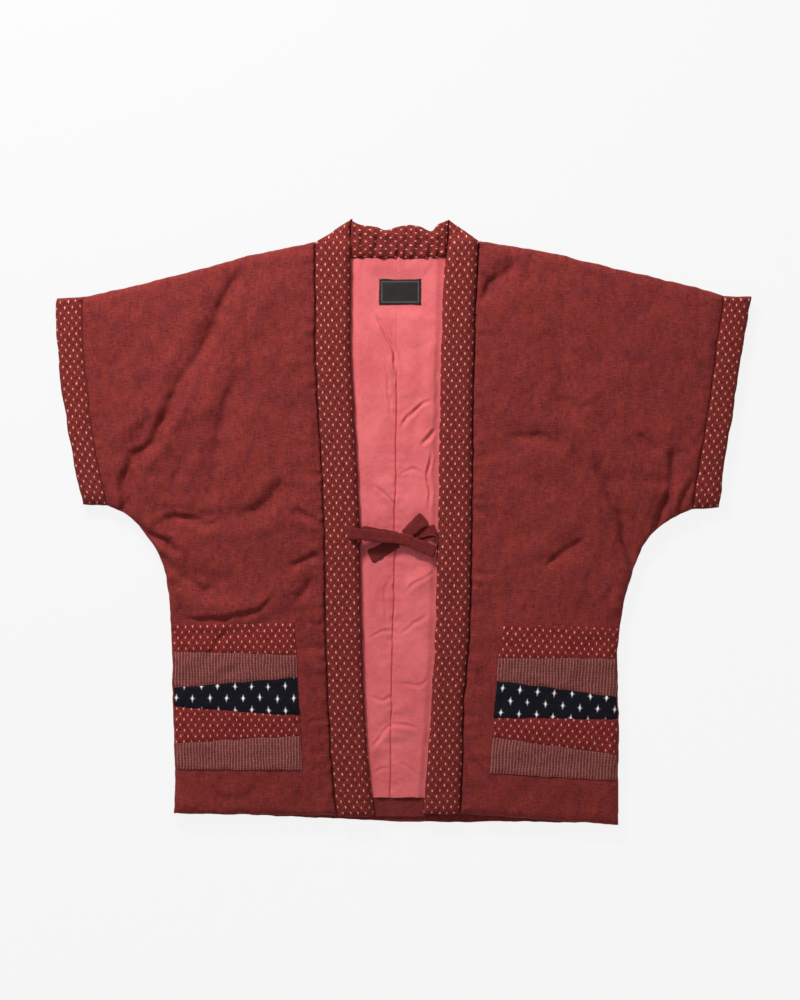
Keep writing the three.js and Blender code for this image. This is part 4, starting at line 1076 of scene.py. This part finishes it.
# %% The bow
TIE = {"width": 14.6, "knot_width": 13.4, "thick": 2.0, "flare": 0.3}
LOOP_RISE = 3.0
TIE_RUNS = [
    ("tie_right", (-7.4, -19.5, 13.2), (-30, -15.5, 13.2), (-52.2, -12, 12.2), {}),
    ("tie_left", (10, -19, 12.6), (26, -14.2, 12.9), (40.5, -9.5, 12.2), {}),
    ("tail_right", (-7.7, -25.4, 10.6), (-24, -34, 11.3), (-42, -43.5, 11.4), {"spread": 0.24}),
    ("tail_left", (2, -16, 14.8), (14.2, -5, 16.6), (26.4, 5.6, 14.6), {"spread": 0.22}),
    ("loop_right", (-4.5, -20.6, 16.4), (-50, -16, 21.4), (-66, -13.2, 22.9), {"loop": True}),
    ("loop_left", (9.5, -24.8, 16.4), (24, -30.4, 16), (38.2, -36.6, 15), {"loop": True, "joined": 19}),
]
TIE_STEPS = 30


def tie_section(half_width, thick):
    """The outline of the strap: how far sideways and how far up each of its points lies."""
    around = np.linspace(0, 2 * np.pi, 28, endpoint=False)
    sideways = half_width * np.sign(np.cos(around)) * np.abs(np.cos(around)) ** 0.55
    up = thick / 2 * np.sign(np.sin(around)) * np.abs(np.sin(around)) ** 0.8
    groove = 1 - 0.16 * np.exp(-(sideways / (0.2 * half_width)) ** 2)
    return sideways, up * groove


def make_tie(name, start, via, end, seed, loop=False, spread=0, joined=0):
    """One run of a tie. The joined argument is not used."""
    start, via, end = (np.array(v, float) for v in (start, via, end))
    spine = curve(start, 2 * via - (start + end) / 2, end, TIE_STEPS)
    heading = (end - start) * [1, 1, 0]
    heading /= np.linalg.norm(heading)
    if loop:
        angles = np.radians(np.arange(15, 166, 15) - 90)[:, None]
        reach = heading * np.cos(angles) * LOOP_RISE / 2
        rise = np.array([0, 0, 1]) * (LOOP_RISE / 2 + np.sin(angles) * LOOP_RISE / 2)
        spine = np.vstack([spine, end + reach + rise, spine[::-1] + [0, 0, LOOP_RISE]])
    total = len(spine) - 1
    sideways_axis = np.array([-heading[1], heading[0], 0])
    forward = np.gradient(spine, axis=0)
    forward /= np.linalg.norm(forward, axis=1)[:, None]
    normal = np.cross(forward, sideways_axis)
    normal /= np.linalg.norm(normal, axis=1)[:, None]
    step = np.arange(total + 1)
    from_knot = np.minimum(step, total - step) / (total / 2) if loop else step / total
    half_width = lerp(TIE["knot_width"], TIE["width"], smooth(from_knot / TIE["flare"])) / 2
    half_width *= 1 + 0.035 * noise(step / 7.0, 0.5, seed)
    half_width *= 1 + spread * smooth(step / total)
    thick = np.full(total + 1, TIE["thick"])
    if not loop:
        half_width *= 1 - 0.3 * np.clip((step - total + 1.6) / 1.6, 0, 1) ** 2
        thick *= 1 - 0.45 * smooth((step - total + 2) / 2)
    points, measures = [], []
    run = run_along(spine)
    for i, centre in enumerate(spine):
        sideways, up = tie_section(half_width[i], thick[i])
        points.append(centre + sideways[:, None] * sideways_axis + up[:, None] * normal[i])
        measures.append(np.column_stack([sideways, np.full(len(sideways), run[i])]))
    faces = tube_faces(total + 1, len(sideways))
    piece = finish_mesh(f"{name}_cloth", np.vstack(points), faces, np.vstack(measures))
    return piece


for index, (name, start, via, end, traits) in enumerate(TIE_RUNS):
    piece = make_tie(name, start, via, end, 1000 + index, **traits)
    print(piece.name, len(piece.data.vertices))

# %% [markdown]
# The left loop stands open. Its near side lies flat and was made above. Its far side stands on
# its edge, so from above only its thickness shows. It is joined to the near side's mesh.

# %% The far side of the left loop
FAR_SIDE = [
    (11, -20.5, 12.5), (25, -18.8, 13), (35, -15.8, 13.6), (41.2, -18.2, 14), (43, -25, 14.4),
    (41, -31.5, 14.8),
]
FAR_SIDE_HALF = (0.85, 3.0)


def on_edge(name, line, half):
    """A strap that stands on its edge, so from above only its thickness shows."""
    spine = smooth_line(line, [7] * (len(line) - 1))
    forward = np.gradient(spine, axis=0)
    sideways = np.stack([-forward[:, 1], forward[:, 0], 0 * forward[:, 0]], -1)
    sideways /= np.linalg.norm(sideways, axis=1)[:, None]
    around = np.linspace(0, 2 * np.pi, 16, endpoint=False)[None, :, None]
    rings = spine[:, None] + sideways[:, None] * half[0] * np.cos(around)
    rings = rings + np.array([0, 0, half[1]]) * np.sin(around)
    points = rings.reshape(-1, 3)
    return finish_mesh(name, points, tube_faces(*rings.shape[:2]), points[:, :2])


far_side = on_edge("far_side", FAR_SIDE, FAR_SIDE_HALF)
del made_pieces["far_side"]
bpy.ops.object.select_all(action="DESELECT")
far_side.select_set(True)
made_pieces["loop_left_cloth"].select_set(True)
bpy.context.view_layer.objects.active = made_pieces["loop_left_cloth"]
bpy.ops.object.join()
print("left loop", len(made_pieces["loop_left_cloth"].data.vertices))

# %% [markdown]
# The knot is one strap wrapped over the other: a rounded block, turned a little, with a groove
# down its front where the wrap ends.

# %% The knot
KNOT = {"at": (2.6, -22.2, 15), "half": (9.2, 7.8, 6), "squareness": 0.36, "turn": -12}
turns, rises = 56, 32
around = np.linspace(0, 2 * np.pi, turns, endpoint=False)[None, :]
up = np.linspace(-np.pi / 2, np.pi / 2, rises)[1:-1, None]
unit = np.stack(np.broadcast_arrays(
    np.cos(around) * np.cos(up), np.sin(around) * np.cos(up), np.sin(up),
), -1)
shape = np.sign(unit) * np.abs(unit) ** KNOT["squareness"]
wrap = eased(unit[..., 0] * 2.2 + unit[..., 1] * 0.7)
groove = 0.1 * np.exp(-((shape[..., 0] - 0.1) / 0.12) ** 2)
shape *= 1 - (groove + 0.04 * wrap)[..., None]
turn = math.radians(KNOT["turn"])
turned = np.array([[math.cos(turn), math.sin(turn), 0], [-math.sin(turn), math.cos(turn), 0], [0, 0, 1]])
knot_points = np.array(KNOT["at"]) + (shape * KNOT["half"]) @ turned
poles = np.array(KNOT["at"]) + np.array([[0, 0, -1], [0, 0, 1]]) * KNOT["half"]
rings = len(up)
bottom, top = rings * turns, rings * turns + 1
ends = []
for k in range(0, turns, 2):
    across = np.array([(k + 2) % turns, k + 1, k])
    ends.append([bottom, *across])
    ends.append([top, *(across[::-1] + (rings - 1) * turns)])
knot_uv = np.vstack([(shape[..., :2] * KNOT["half"][:2]).reshape(-1, 2), [[0, 0], [0, 0]]])
knot = finish_mesh(
    "knot_cloth",
    np.vstack([knot_points.reshape(-1, 3), poles]),
    np.vstack([tube_walls(rings, turns), ends]),
    knot_uv,
)
print(knot.name, len(knot.data.vertices))

# %% [markdown]
# Finishes are sums written as Python. A wire is one output of a node, and adding or
# multiplying wires adds the Math nodes. Any other node comes from one method. Colours are
# given as they would be read off a screen and turned into light here.

# %% Wires and finishes
class Wire:
    def __init__(self, finish, socket):
        self.finish = finish
        self.socket = socket

    def math(self, operation, *others):
        inputs = dict(enumerate((self, *others)))
        return self.finish.node("Math", {"operation": operation}, inputs)

    def __add__(self, other):
        return self.math("ADD", other)

    __radd__ = __add__

    def __sub__(self, other):
        return self.math("SUBTRACT", other)

    def __rsub__(self, other):
        return self.finish.node("Math", {"operation": "SUBTRACT"}, {0: other, 1: self})

    def __mul__(self, other):
        return self.math("MULTIPLY", other)

    __rmul__ = __mul__

    def __truediv__(self, other):
        return self.math("DIVIDE", other)

    def __pow__(self, other):
        return self.math("POWER", other)

    def __mod__(self, other):
        return self.math("FLOORED_MODULO", other)

    def __abs__(self):
        return self.math("ABSOLUTE")

    def floor(self):
        return self.math("FLOOR")

    def sine(self):
        return self.math("SINE")

    def swing(self, amount):
        """Noise from 0 to 1, turned into a change up or down."""
        return (self - 0.5) * amount

    def step(self, low, high):
        """0 below low, 1 above high, smooth between them. The two may be swapped."""
        limits = {"Value": self, "From Min": min(low, high), "From Max": max(low, high)}
        ends = {"To Min": 0.0, "To Max": 1.0} if low < high else {"To Min": 1.0, "To Max": 0.0}
        return self.finish.node("MapRange", {"interpolation_type": "SMOOTHSTEP"}, {**limits, **ends})


def light(red, green, blue):
    """A screen colour, 0 to 255, as light."""
    channels = [c / 255 for c in (red, green, blue)]
    return (*(c / 12.92 if c <= 0.04045 else ((c + 0.055) / 1.055) ** 2.4 for c in channels), 1)


WARM_FUZZ = light(196, 112, 104)


class Finish:
    def __init__(self, name, roughness, sheen=0.0):
        self.material = bpy.data.materials.new(name)
        self.material.use_nodes = True
        self.tree = self.material.node_tree
        self.shader = self.tree.nodes["Principled BSDF"]
        self.shader.inputs["Roughness"].default_value = roughness
        self.shader.inputs["Specular IOR Level"].default_value = 0.25
        self.shader.inputs["Sheen Weight"].default_value = sheen
        self.shader.inputs["Sheen Roughness"].default_value = 0.5
        self.shader.inputs["Sheen Tint"].default_value = WARM_FUZZ

    def feed(self, socket, value):
        if isinstance(value, Wire):
            self.tree.links.new(value.socket, socket)
        else:
            socket.default_value = value

    def node(self, kind, settings=None, inputs=None, output=0):
        made = self.tree.nodes.new("ShaderNode" + kind)
        for key, value in (settings or {}).items():
            setattr(made, key, value)
        for key, value in (inputs or {}).items():
            self.feed(made.inputs[key], value)
        return Wire(self, made.outputs[output])

    def place(self):
        """Where a point lies on the object itself, in metres."""
        return self.node("TexCoord", output=3)

    def measure(self):
        """How far across and along its own cloth a point lies, in metres."""
        u, v, _ = self.parts(self.node("UVMap", {"uv_map": "cloth"}))
        return u, v

    def parts(self, vector):
        return [self.node("SeparateXYZ", {}, {0: vector}, output=i) for i in range(3)]

    def join(self, x, y, z=0.0):
        return self.node("CombineXYZ", {}, {0: x, 1: y, 2: z})

    def grain(self, vector, scale, detail):
        """Noise from 0 to 1, about 0.5 on average."""
        return self.node("TexNoise", {}, {"Vector": vector, "Scale": scale, "Detail": detail})

    def fibres(self, x, y, detail=1.0):
        """Noise drawn out along whichever of the two measures was scaled less."""
        return self.grain(self.join(x, y), 1.0, detail)

    def chance(self, vector):
        """A random number for each whole-number cell."""
        return self.node("TexWhiteNoise", {"noise_dimensions": "3D"}, {0: vector})

    def mix(self, share, one, other):
        return self.node("Mix", {"data_type": "RGBA"}, {0: share, 6: one, 7: other}, output=2)

    def colour(self, value):
        self.feed(self.shader.inputs["Base Color"], value)

    def relief(self, height, distance, strength):
        bump = self.node("Bump", {}, {"Strength": strength, "Distance": distance, "Height": height})
        self.feed(self.shader.inputs["Normal"], bump)


# %% [markdown]
# The shell is a slubbed cotton, woven from yarn with thick and thin places. It reads as a dark
# red with short streaks both ways, broad warmer and cooler patches placed at random, and a few
# dark specks. All of it reads the object's own coordinates, so it stays put on the cloth.

# %% The shell cloth
THREAD = 0.0007


def weave(x, y, pitch):
    """The over and under of a plain weave, 0 to 1."""
    over = (x * (math.pi / pitch)).sine() * (y * (math.pi / pitch)).sine()
    return over * 0.5 + 0.5


def slubs(finish, x, y):
    """Short thick places in the yarn, along both directions of the weave."""
    weft = finish.fibres(x * 120.0, y * 640.0, 2.0)
    warp = finish.fibres(x * 640.0 + 7.0, y * 120.0, 2.0)
    return weft, warp


def slubbed_cotton(name, dark, speck, pale, warm, cool):
    finish = Finish(name, 0.92, 0.12)
    place = finish.place()
    x, y, _ = finish.parts(place)
    weft, warp = slubs(finish, x, y)
    broad = finish.grain(place, 9.0, 2.0)
    drift = finish.fibres(x * 190.0, y * 46.0, 2.0)
    streak = weft.swing(1.25) + warp.swing(0.95) + drift.swing(0.45) + broad.swing(0.3)
    tone = (streak + 0.5).step(0.1, 0.9)
    cloth = finish.mix(tone, light(*dark), light(*pale))
    warmth = finish.fibres(x * 95.0 + 3.0, y * 28.0 + 5.0, 2.0).step(0.4, 0.62)
    cloth = finish.mix(warmth * 0.32, cloth, light(*warm))
    coolness = finish.fibres(x * 80.0 + 9.0, y * 36.0 + 1.0, 3.0).step(0.46, 0.66)
    cloth = finish.mix(coolness * 0.32, cloth, light(*cool))
    dashes = finish.fibres(x * 230.0, y * 620.0).step(0.66, 0.76)
    cloth = finish.mix(dashes * 0.3, cloth, light(*speck))
    neps = finish.fibres(x * 480.0, y * 520.0, 0.0).step(0.76, 0.82)
    cloth = finish.mix(neps * 0.85, cloth, light(*speck))
    finish.colour(cloth)
    threads = weave(x, y, THREAD) * 0.5 + weft * 0.9 + warp * 0.7
    finish.relief(threads, 0.0004, 0.6)
    return finish.material


shell_cloth = slubbed_cotton(
    "slubbed shell cotton",
    dark=(98, 28, 28), speck=(50, 13, 19), pale=(142, 50, 46), warm=(141, 48, 37), cool=(104, 35, 43),
)
# The hem facing is the shell cloth turned up. Its colours are darker than the shell's, and part of that
# darkening is painted shade.
facing_cloth_with_painted_shade = slubbed_cotton(
    "hem facing cotton",
    dark=(94, 28, 29), speck=(56, 16, 20), pale=(128, 45, 45), warm=(122, 41, 35), cool=(100, 34, 42),
)
tie_cloth = slubbed_cotton(
    "tie cotton",
    dark=(94, 25, 25), speck=(56, 14, 18), pale=(122, 40, 38), warm=(120, 37, 31), cool=(96, 30, 36),
)
print("shell cloths ready")

# %% [markdown]
# The lining is a plainer weave in pink, only faintly streaked.

# %% The lining cloth
def lining_cotton(name, dark, pale):
    finish = Finish(name, 0.88, 0.1)
    place = finish.place()
    x, y, _ = finish.parts(place)
    weft, warp = slubs(finish, x, y)
    cloudy = finish.grain(place, 24.0, 3.0)
    tone = (weft.swing(0.45) + warp.swing(0.35) + cloudy.swing(0.9) + 0.5).step(0.15, 0.85)
    finish.colour(finish.mix(tone, light(*dark), light(*pale)))
    finish.relief(weave(x, y, THREAD) * 0.5 + weft * 0.5 + warp * 0.4, 0.0003, 0.5)
    return finish.material


lining_cloth = lining_cotton("pink lining cotton", (208, 91, 96), (231, 115, 118))
print(lining_cloth.name)

# %% [markdown]
# Kasuri is woven from yarn that was bound and dyed before weaving, so its light dots have
# soft edges and sit a little unevenly. Each cell of the repeat gets its own small shift by
# chance. The measures come from the UV map, so the rows follow the band or the strip. The whole
# repeat is moved by a quarter of its width, which leaves whole dots along the seams.

# %% Repeats of the kasuri
def repeat(finish, across, along):
    """Place within each cell of a staggered repeat, in metres, with a small shift by chance."""
    u, v = finish.measure()
    wander = finish.grain(finish.join(u, v), 90.0, 1.0)
    u = u + wander.swing(0.0012) + across / 4
    row = (v / along).floor()
    stagger = (row % 2.0) * 0.5
    column_at = u / across + stagger
    column = column_at.floor()
    cell = finish.join(column, row)
    shift_u = finish.chance(cell).swing(0.07 * across)
    shift_v = finish.chance(finish.join(column + 31.0, row + 17.0)).swing(0.10 * along)
    du = (column_at - column - 0.5) * across + shift_u
    dv = (v / along - row - 0.5) * along + shift_v
    return u, v, du, dv, cell


def blot(du, dv, half_u, half_v):
    """How far out of an oval spot a place is: 0 at its middle, 1 on its edge."""
    return ((du / half_u) ** 2.0 + (dv / half_v) ** 2.0) ** 0.5


# %% [markdown]
# A dot is a light spot with a fainter rim, ragged where the dye crept along the threads. Between
# two dots the ground is darker. The bands and the pockets differ a little in ground and pitch.

# %% The dotted cloth
DOT_PITCH = 0.0097
DOT_HALF = (0.00092, 0.0018)
SHADE_HALF = (0.0015, 0.0020)


def dotted_cloth(name, rise, ground, ground_pale, dot, dot_rim):
    finish = Finish(name, 0.9, 0.1)
    u, v, du, dv, cell = repeat(finish, DOT_PITCH, rise)
    threads = finish.fibres(u * 2400.0, v * 420.0)
    weft = finish.fibres(u * 300.0, v * 1500.0)
    mottle = finish.grain(finish.join(u, v), 160.0, 3.0)
    streaks = finish.fibres(u * 780.0, v * 230.0)
    tone = threads.swing(0.8) + weft.swing(0.6) + mottle.swing(0.6) + streaks.swing(1.3) + 0.5
    cloth = finish.mix(tone.step(0.15, 0.85), light(*ground), light(*ground_pale))
    shade = blot(abs(du) - DOT_PITCH / 2, dv, *SHADE_HALF).step(1.15, 0.35)
    cloth = finish.mix(shade * 0.55, cloth, light(54, 14, 13))
    ragged = threads.swing(0.55) + mottle.swing(0.5)
    out = blot(du, dv, *DOT_HALF) + ragged
    strength = finish.chance(cell) * 0.45 + 0.55
    cloth = finish.mix(out.step(1.35, 0.75) * strength, cloth, light(*dot_rim))
    cloth = finish.mix(out.step(0.95, 0.35) * strength, cloth, light(*dot))
    fleck = finish.fibres(u * 620.0, v * 540.0).step(0.6, 0.72)
    cloth = finish.mix(fleck * 0.3, cloth, light(190, 112, 98))
    finish.colour(cloth)
    finish.relief(weave(u, v, THREAD) * 0.6 + threads * 0.5 + weft * 0.4, 0.0003, 0.5)
    return finish.material


band_dots = dotted_cloth(
    "kasuri dots on the bands", rise=0.0069,
    ground=(84, 19, 18), ground_pale=(136, 42, 37), dot=(240, 178, 158), dot_rim=(196, 98, 90),
)
pocket_dots = dotted_cloth(
    "kasuri dots on the pockets", rise=0.0067,
    ground=(92, 18, 18), ground_pale=(138, 38, 36), dot=(240, 172, 154), dot_rim=(198, 96, 84),
)
print(band_dots.name, "and", pocket_dots.name)

# %% [markdown]
# The check has fine light lines down the cloth and shorter dashes across it. The dark strip
# has crosses: a long soft bar along the warp, a thin faint one across it, and a white middle.

# %% The check and the crosses
CHECK_PITCH = (0.0039, 0.0034)
UPRIGHT_HALF = (0.00105, 0.0052)
CROSSBAR_HALF = (0.0040, 0.0009)
MIDDLE_HALF = (0.0017, 0.0025)


def check_cotton(name):
    finish = Finish(name, 0.9, 0.1)
    u, v = finish.measure()
    wander = finish.grain(finish.join(u, v), 110.0, 1.0)
    u = u + wander.swing(0.0006)
    lines = abs((u / CHECK_PITCH[0]) % 1.0 - 0.5).step(0.24, 0.06)
    breaks = finish.fibres(u * 900.0, v * 260.0).step(0.3, 0.62)
    dashes = abs((v / CHECK_PITCH[1]) % 1.0 - 0.5).step(0.26, 0.08)
    dash_gaps = finish.fibres(u * 330.0, v * 900.0).step(0.4, 0.6)
    mottle = finish.grain(finish.join(u, v), 220.0, 3.0)
    ground = finish.mix(mottle.step(0.25, 0.75), light(88, 34, 33), light(120, 53, 50))
    cloth = finish.mix(dashes * (dash_gaps * 0.45 + 0.05), ground, light(142, 84, 78))
    cloth = finish.mix(lines * (breaks * 0.5 + 0.38), cloth, light(170, 108, 101))
    finish.colour(cloth)
    finish.relief(weave(u, v, THREAD) + lines * 0.4, 0.0003, 0.5)
    return finish.material


def cross_cotton(name):
    finish = Finish(name, 0.95)
    u, v, du, dv, _ = repeat(finish, *(pitch / 1000 for pitch in CROSS_PITCH))
    threads = finish.fibres(u * 2200.0, v * 300.0)
    across_threads = finish.fibres(u * 300.0, v * 2200.0)
    tone = finish.grain(finish.join(u, v), 240.0, 3.0).step(0.25, 0.75)
    ragged = threads.swing(0.5)
    upright = blot(du, dv, *UPRIGHT_HALF) + ragged
    crossbar = blot(du, dv, *CROSSBAR_HALF) + across_threads.swing(0.5)
    middle = blot(du, dv, *MIDDLE_HALF) + ragged
    cloth = finish.mix(tone, light(5, 5, 14), light(19, 12, 28))
    cloth = finish.mix(crossbar.step(1.25, 0.45) * 0.36, cloth, light(190, 190, 200))
    cloth = finish.mix(upright.step(1.2, 0.4) * 0.8, cloth, light(214, 214, 216))
    cloth = finish.mix(middle.step(1.25, 0.4), cloth, light(250, 250, 246))
    finish.colour(cloth)
    finish.relief(weave(u, v, THREAD) + threads * 0.4, 0.0003, 0.5)
    return finish.material


check_cloth = check_cotton("small check cotton")
cross_cloth = cross_cotton("dark cotton with crosses")
print(check_cloth.name, "and", cross_cloth.name)

# %% [markdown]
# The label is a closely woven black tape. One plain line runs round it inside its edge.

# %% The label's tape
TAPE_THREAD = 0.0004
LINE_INSET = 0.0034


def black_tape(name):
    finish = Finish(name, 0.6, 0.05)
    x, y, _ = finish.parts(finish.place())
    from_edges = []
    for at, low, high, shift in (
        (x, LABEL["right"], LABEL["left"], SHIFT[0]),
        (y, LABEL["bottom"], LABEL["top"], SHIFT[1]),
    ):
        centre = (low + high) / 2 + shift
        from_edges.append((high - low) / 2000 - abs(at - centre / 1000))
    inside = from_edges[0].math("MINIMUM", from_edges[1])
    line = abs(inside - LINE_INSET).step(0.0007, 0.0002)
    fine = finish.fibres(x * 700.0, y * 2600.0)
    cloth = finish.mix(fine, light(24, 20, 20), light(44, 38, 38))
    finish.colour(finish.mix(line * 0.35, cloth, light(150, 140, 132)))
    finish.relief(weave(x, y, TAPE_THREAD) + fine * 0.3, 0.0002, 0.4)
    return finish.material


label_cloth = black_tape("black woven tape")
print("finishes", len(bpy.data.materials))

# %% [markdown]
# Each piece rides on the one body of the frame, takes its finish, and stands in for the plain
# solid of the same name. The cloth follows from the first word of a name, or from the strip's
# place in the pocket. What is left over belongs to the bow.

# %% Dress the frame
CLOTHS = {
    "front": ("shell", shell_cloth),
    "back": ("shell", shell_cloth),
    "lining": ("lining", lining_cloth),
    "hem": ("facing", facing_cloth_with_painted_shade),
    "collar": ("dots", band_dots),
    "cuff": ("dots", band_dots),
    "dots": ("dots", pocket_dots),
    "check": ("check", check_cloth),
    "crosses": ("crosses", cross_cloth),
    "label": ("label", label_cloth),
}
BOW_CLOTH = ("ties", tie_cloth)
for name, piece in made_pieces.items():
    node = name.rsplit("_", 1)[0]
    kind = pocket_cloth.get(name, name.split("_")[0])
    slot, material = CLOTHS.get(kind, BOW_CLOTH)
    piece.data.materials.append(material)
    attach(piece, "root")
    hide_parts(node)
    low, high = (np.array(v) * 1000 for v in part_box(node))
    corners = np.array([v.co for v in piece.data.vertices]) * 1000
    apart = np.abs(np.concatenate([corners.min(0) - low, corners.max(0) - high])).max()
    print(f"{name}: {len(piece.data.polygons)} faces, box differs by {apart:.1f} mm")

# %% [markdown]
# The jacket lies on a plain pale floor that glows a little, as a light table does, so it stays
# even and its shadows stay faint. One soft lamp low at the upper left draws the creases and
# falls off toward the hem, and an even pale surrounding light fills the shadows.

# %% Floor, light and camera
FLOOR = {"size": 16, "z": -0.0006, "glow": 0.875, "colour": (0.05, 0.05, 0.05, 1)}
WHITE = (1, 1, 1, 1)
ROOM_LIGHT = 0.37
LAMP = {"at": (-0.74, 1.66, 1.15), "toward": (0.0, 0.03, 0.0), "size": 0.4, "power": 49}
bpy.ops.object.select_all(action="DESELECT")
bpy.ops.mesh.primitive_plane_add(size=FLOOR["size"], location=(0, 0, FLOOR["z"]))
floor = bpy.context.object
floor.name = "floor"
floor_finish = Finish("pale floor", 0.9)
floor_finish.colour(FLOOR["colour"])
floor_finish.feed(floor_finish.shader.inputs["Emission Color"], WHITE)
floor_finish.feed(floor_finish.shader.inputs["Emission Strength"], FLOOR["glow"])
floor.data.materials.append(floor_finish.material)
floor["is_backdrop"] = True

bpy.ops.object.light_add(type="AREA", location=LAMP["at"])
lamp = bpy.context.object
lamp.name = "soft lamp"
lamp.data.energy = LAMP["power"]
lamp.data.size = LAMP["size"]
lamp.rotation_euler = (Vector(LAMP["toward"]) - Vector(LAMP["at"])).to_track_quat("-Z", "Y").to_euler()

scene = bpy.context.scene
world = bpy.data.worlds.new("pale room")
scene.world = world
world.use_nodes = True
background = world.node_tree.nodes["Background"]
background.inputs["Color"].default_value = WHITE
background.inputs["Strength"].default_value = ROOM_LIGHT
scene.view_settings.view_transform = "Standard"

CAMERA = {"at": (-0.0044, 0.027, 3.48), "lens": 100, "film": 36, "far": 60}
camera_data = bpy.data.cameras.new("camera")
camera_data.lens = CAMERA["lens"]
camera_data.sensor_width = CAMERA["film"]
camera_data.clip_end = CAMERA["far"]
camera = bpy.data.objects.new("camera", camera_data)
camera.location = CAMERA["at"]
bpy.context.collection.objects.link(camera)
scene.camera = camera
print("camera at", CAMERA["at"], "lamp at", LAMP["at"])

# %% [markdown]
# The box of the dressed jacket is printed.

# %% Sizes, and the end
low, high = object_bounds()
print("dressed box", [round(v, 4) for v in low], [round(v, 4) for v in high])
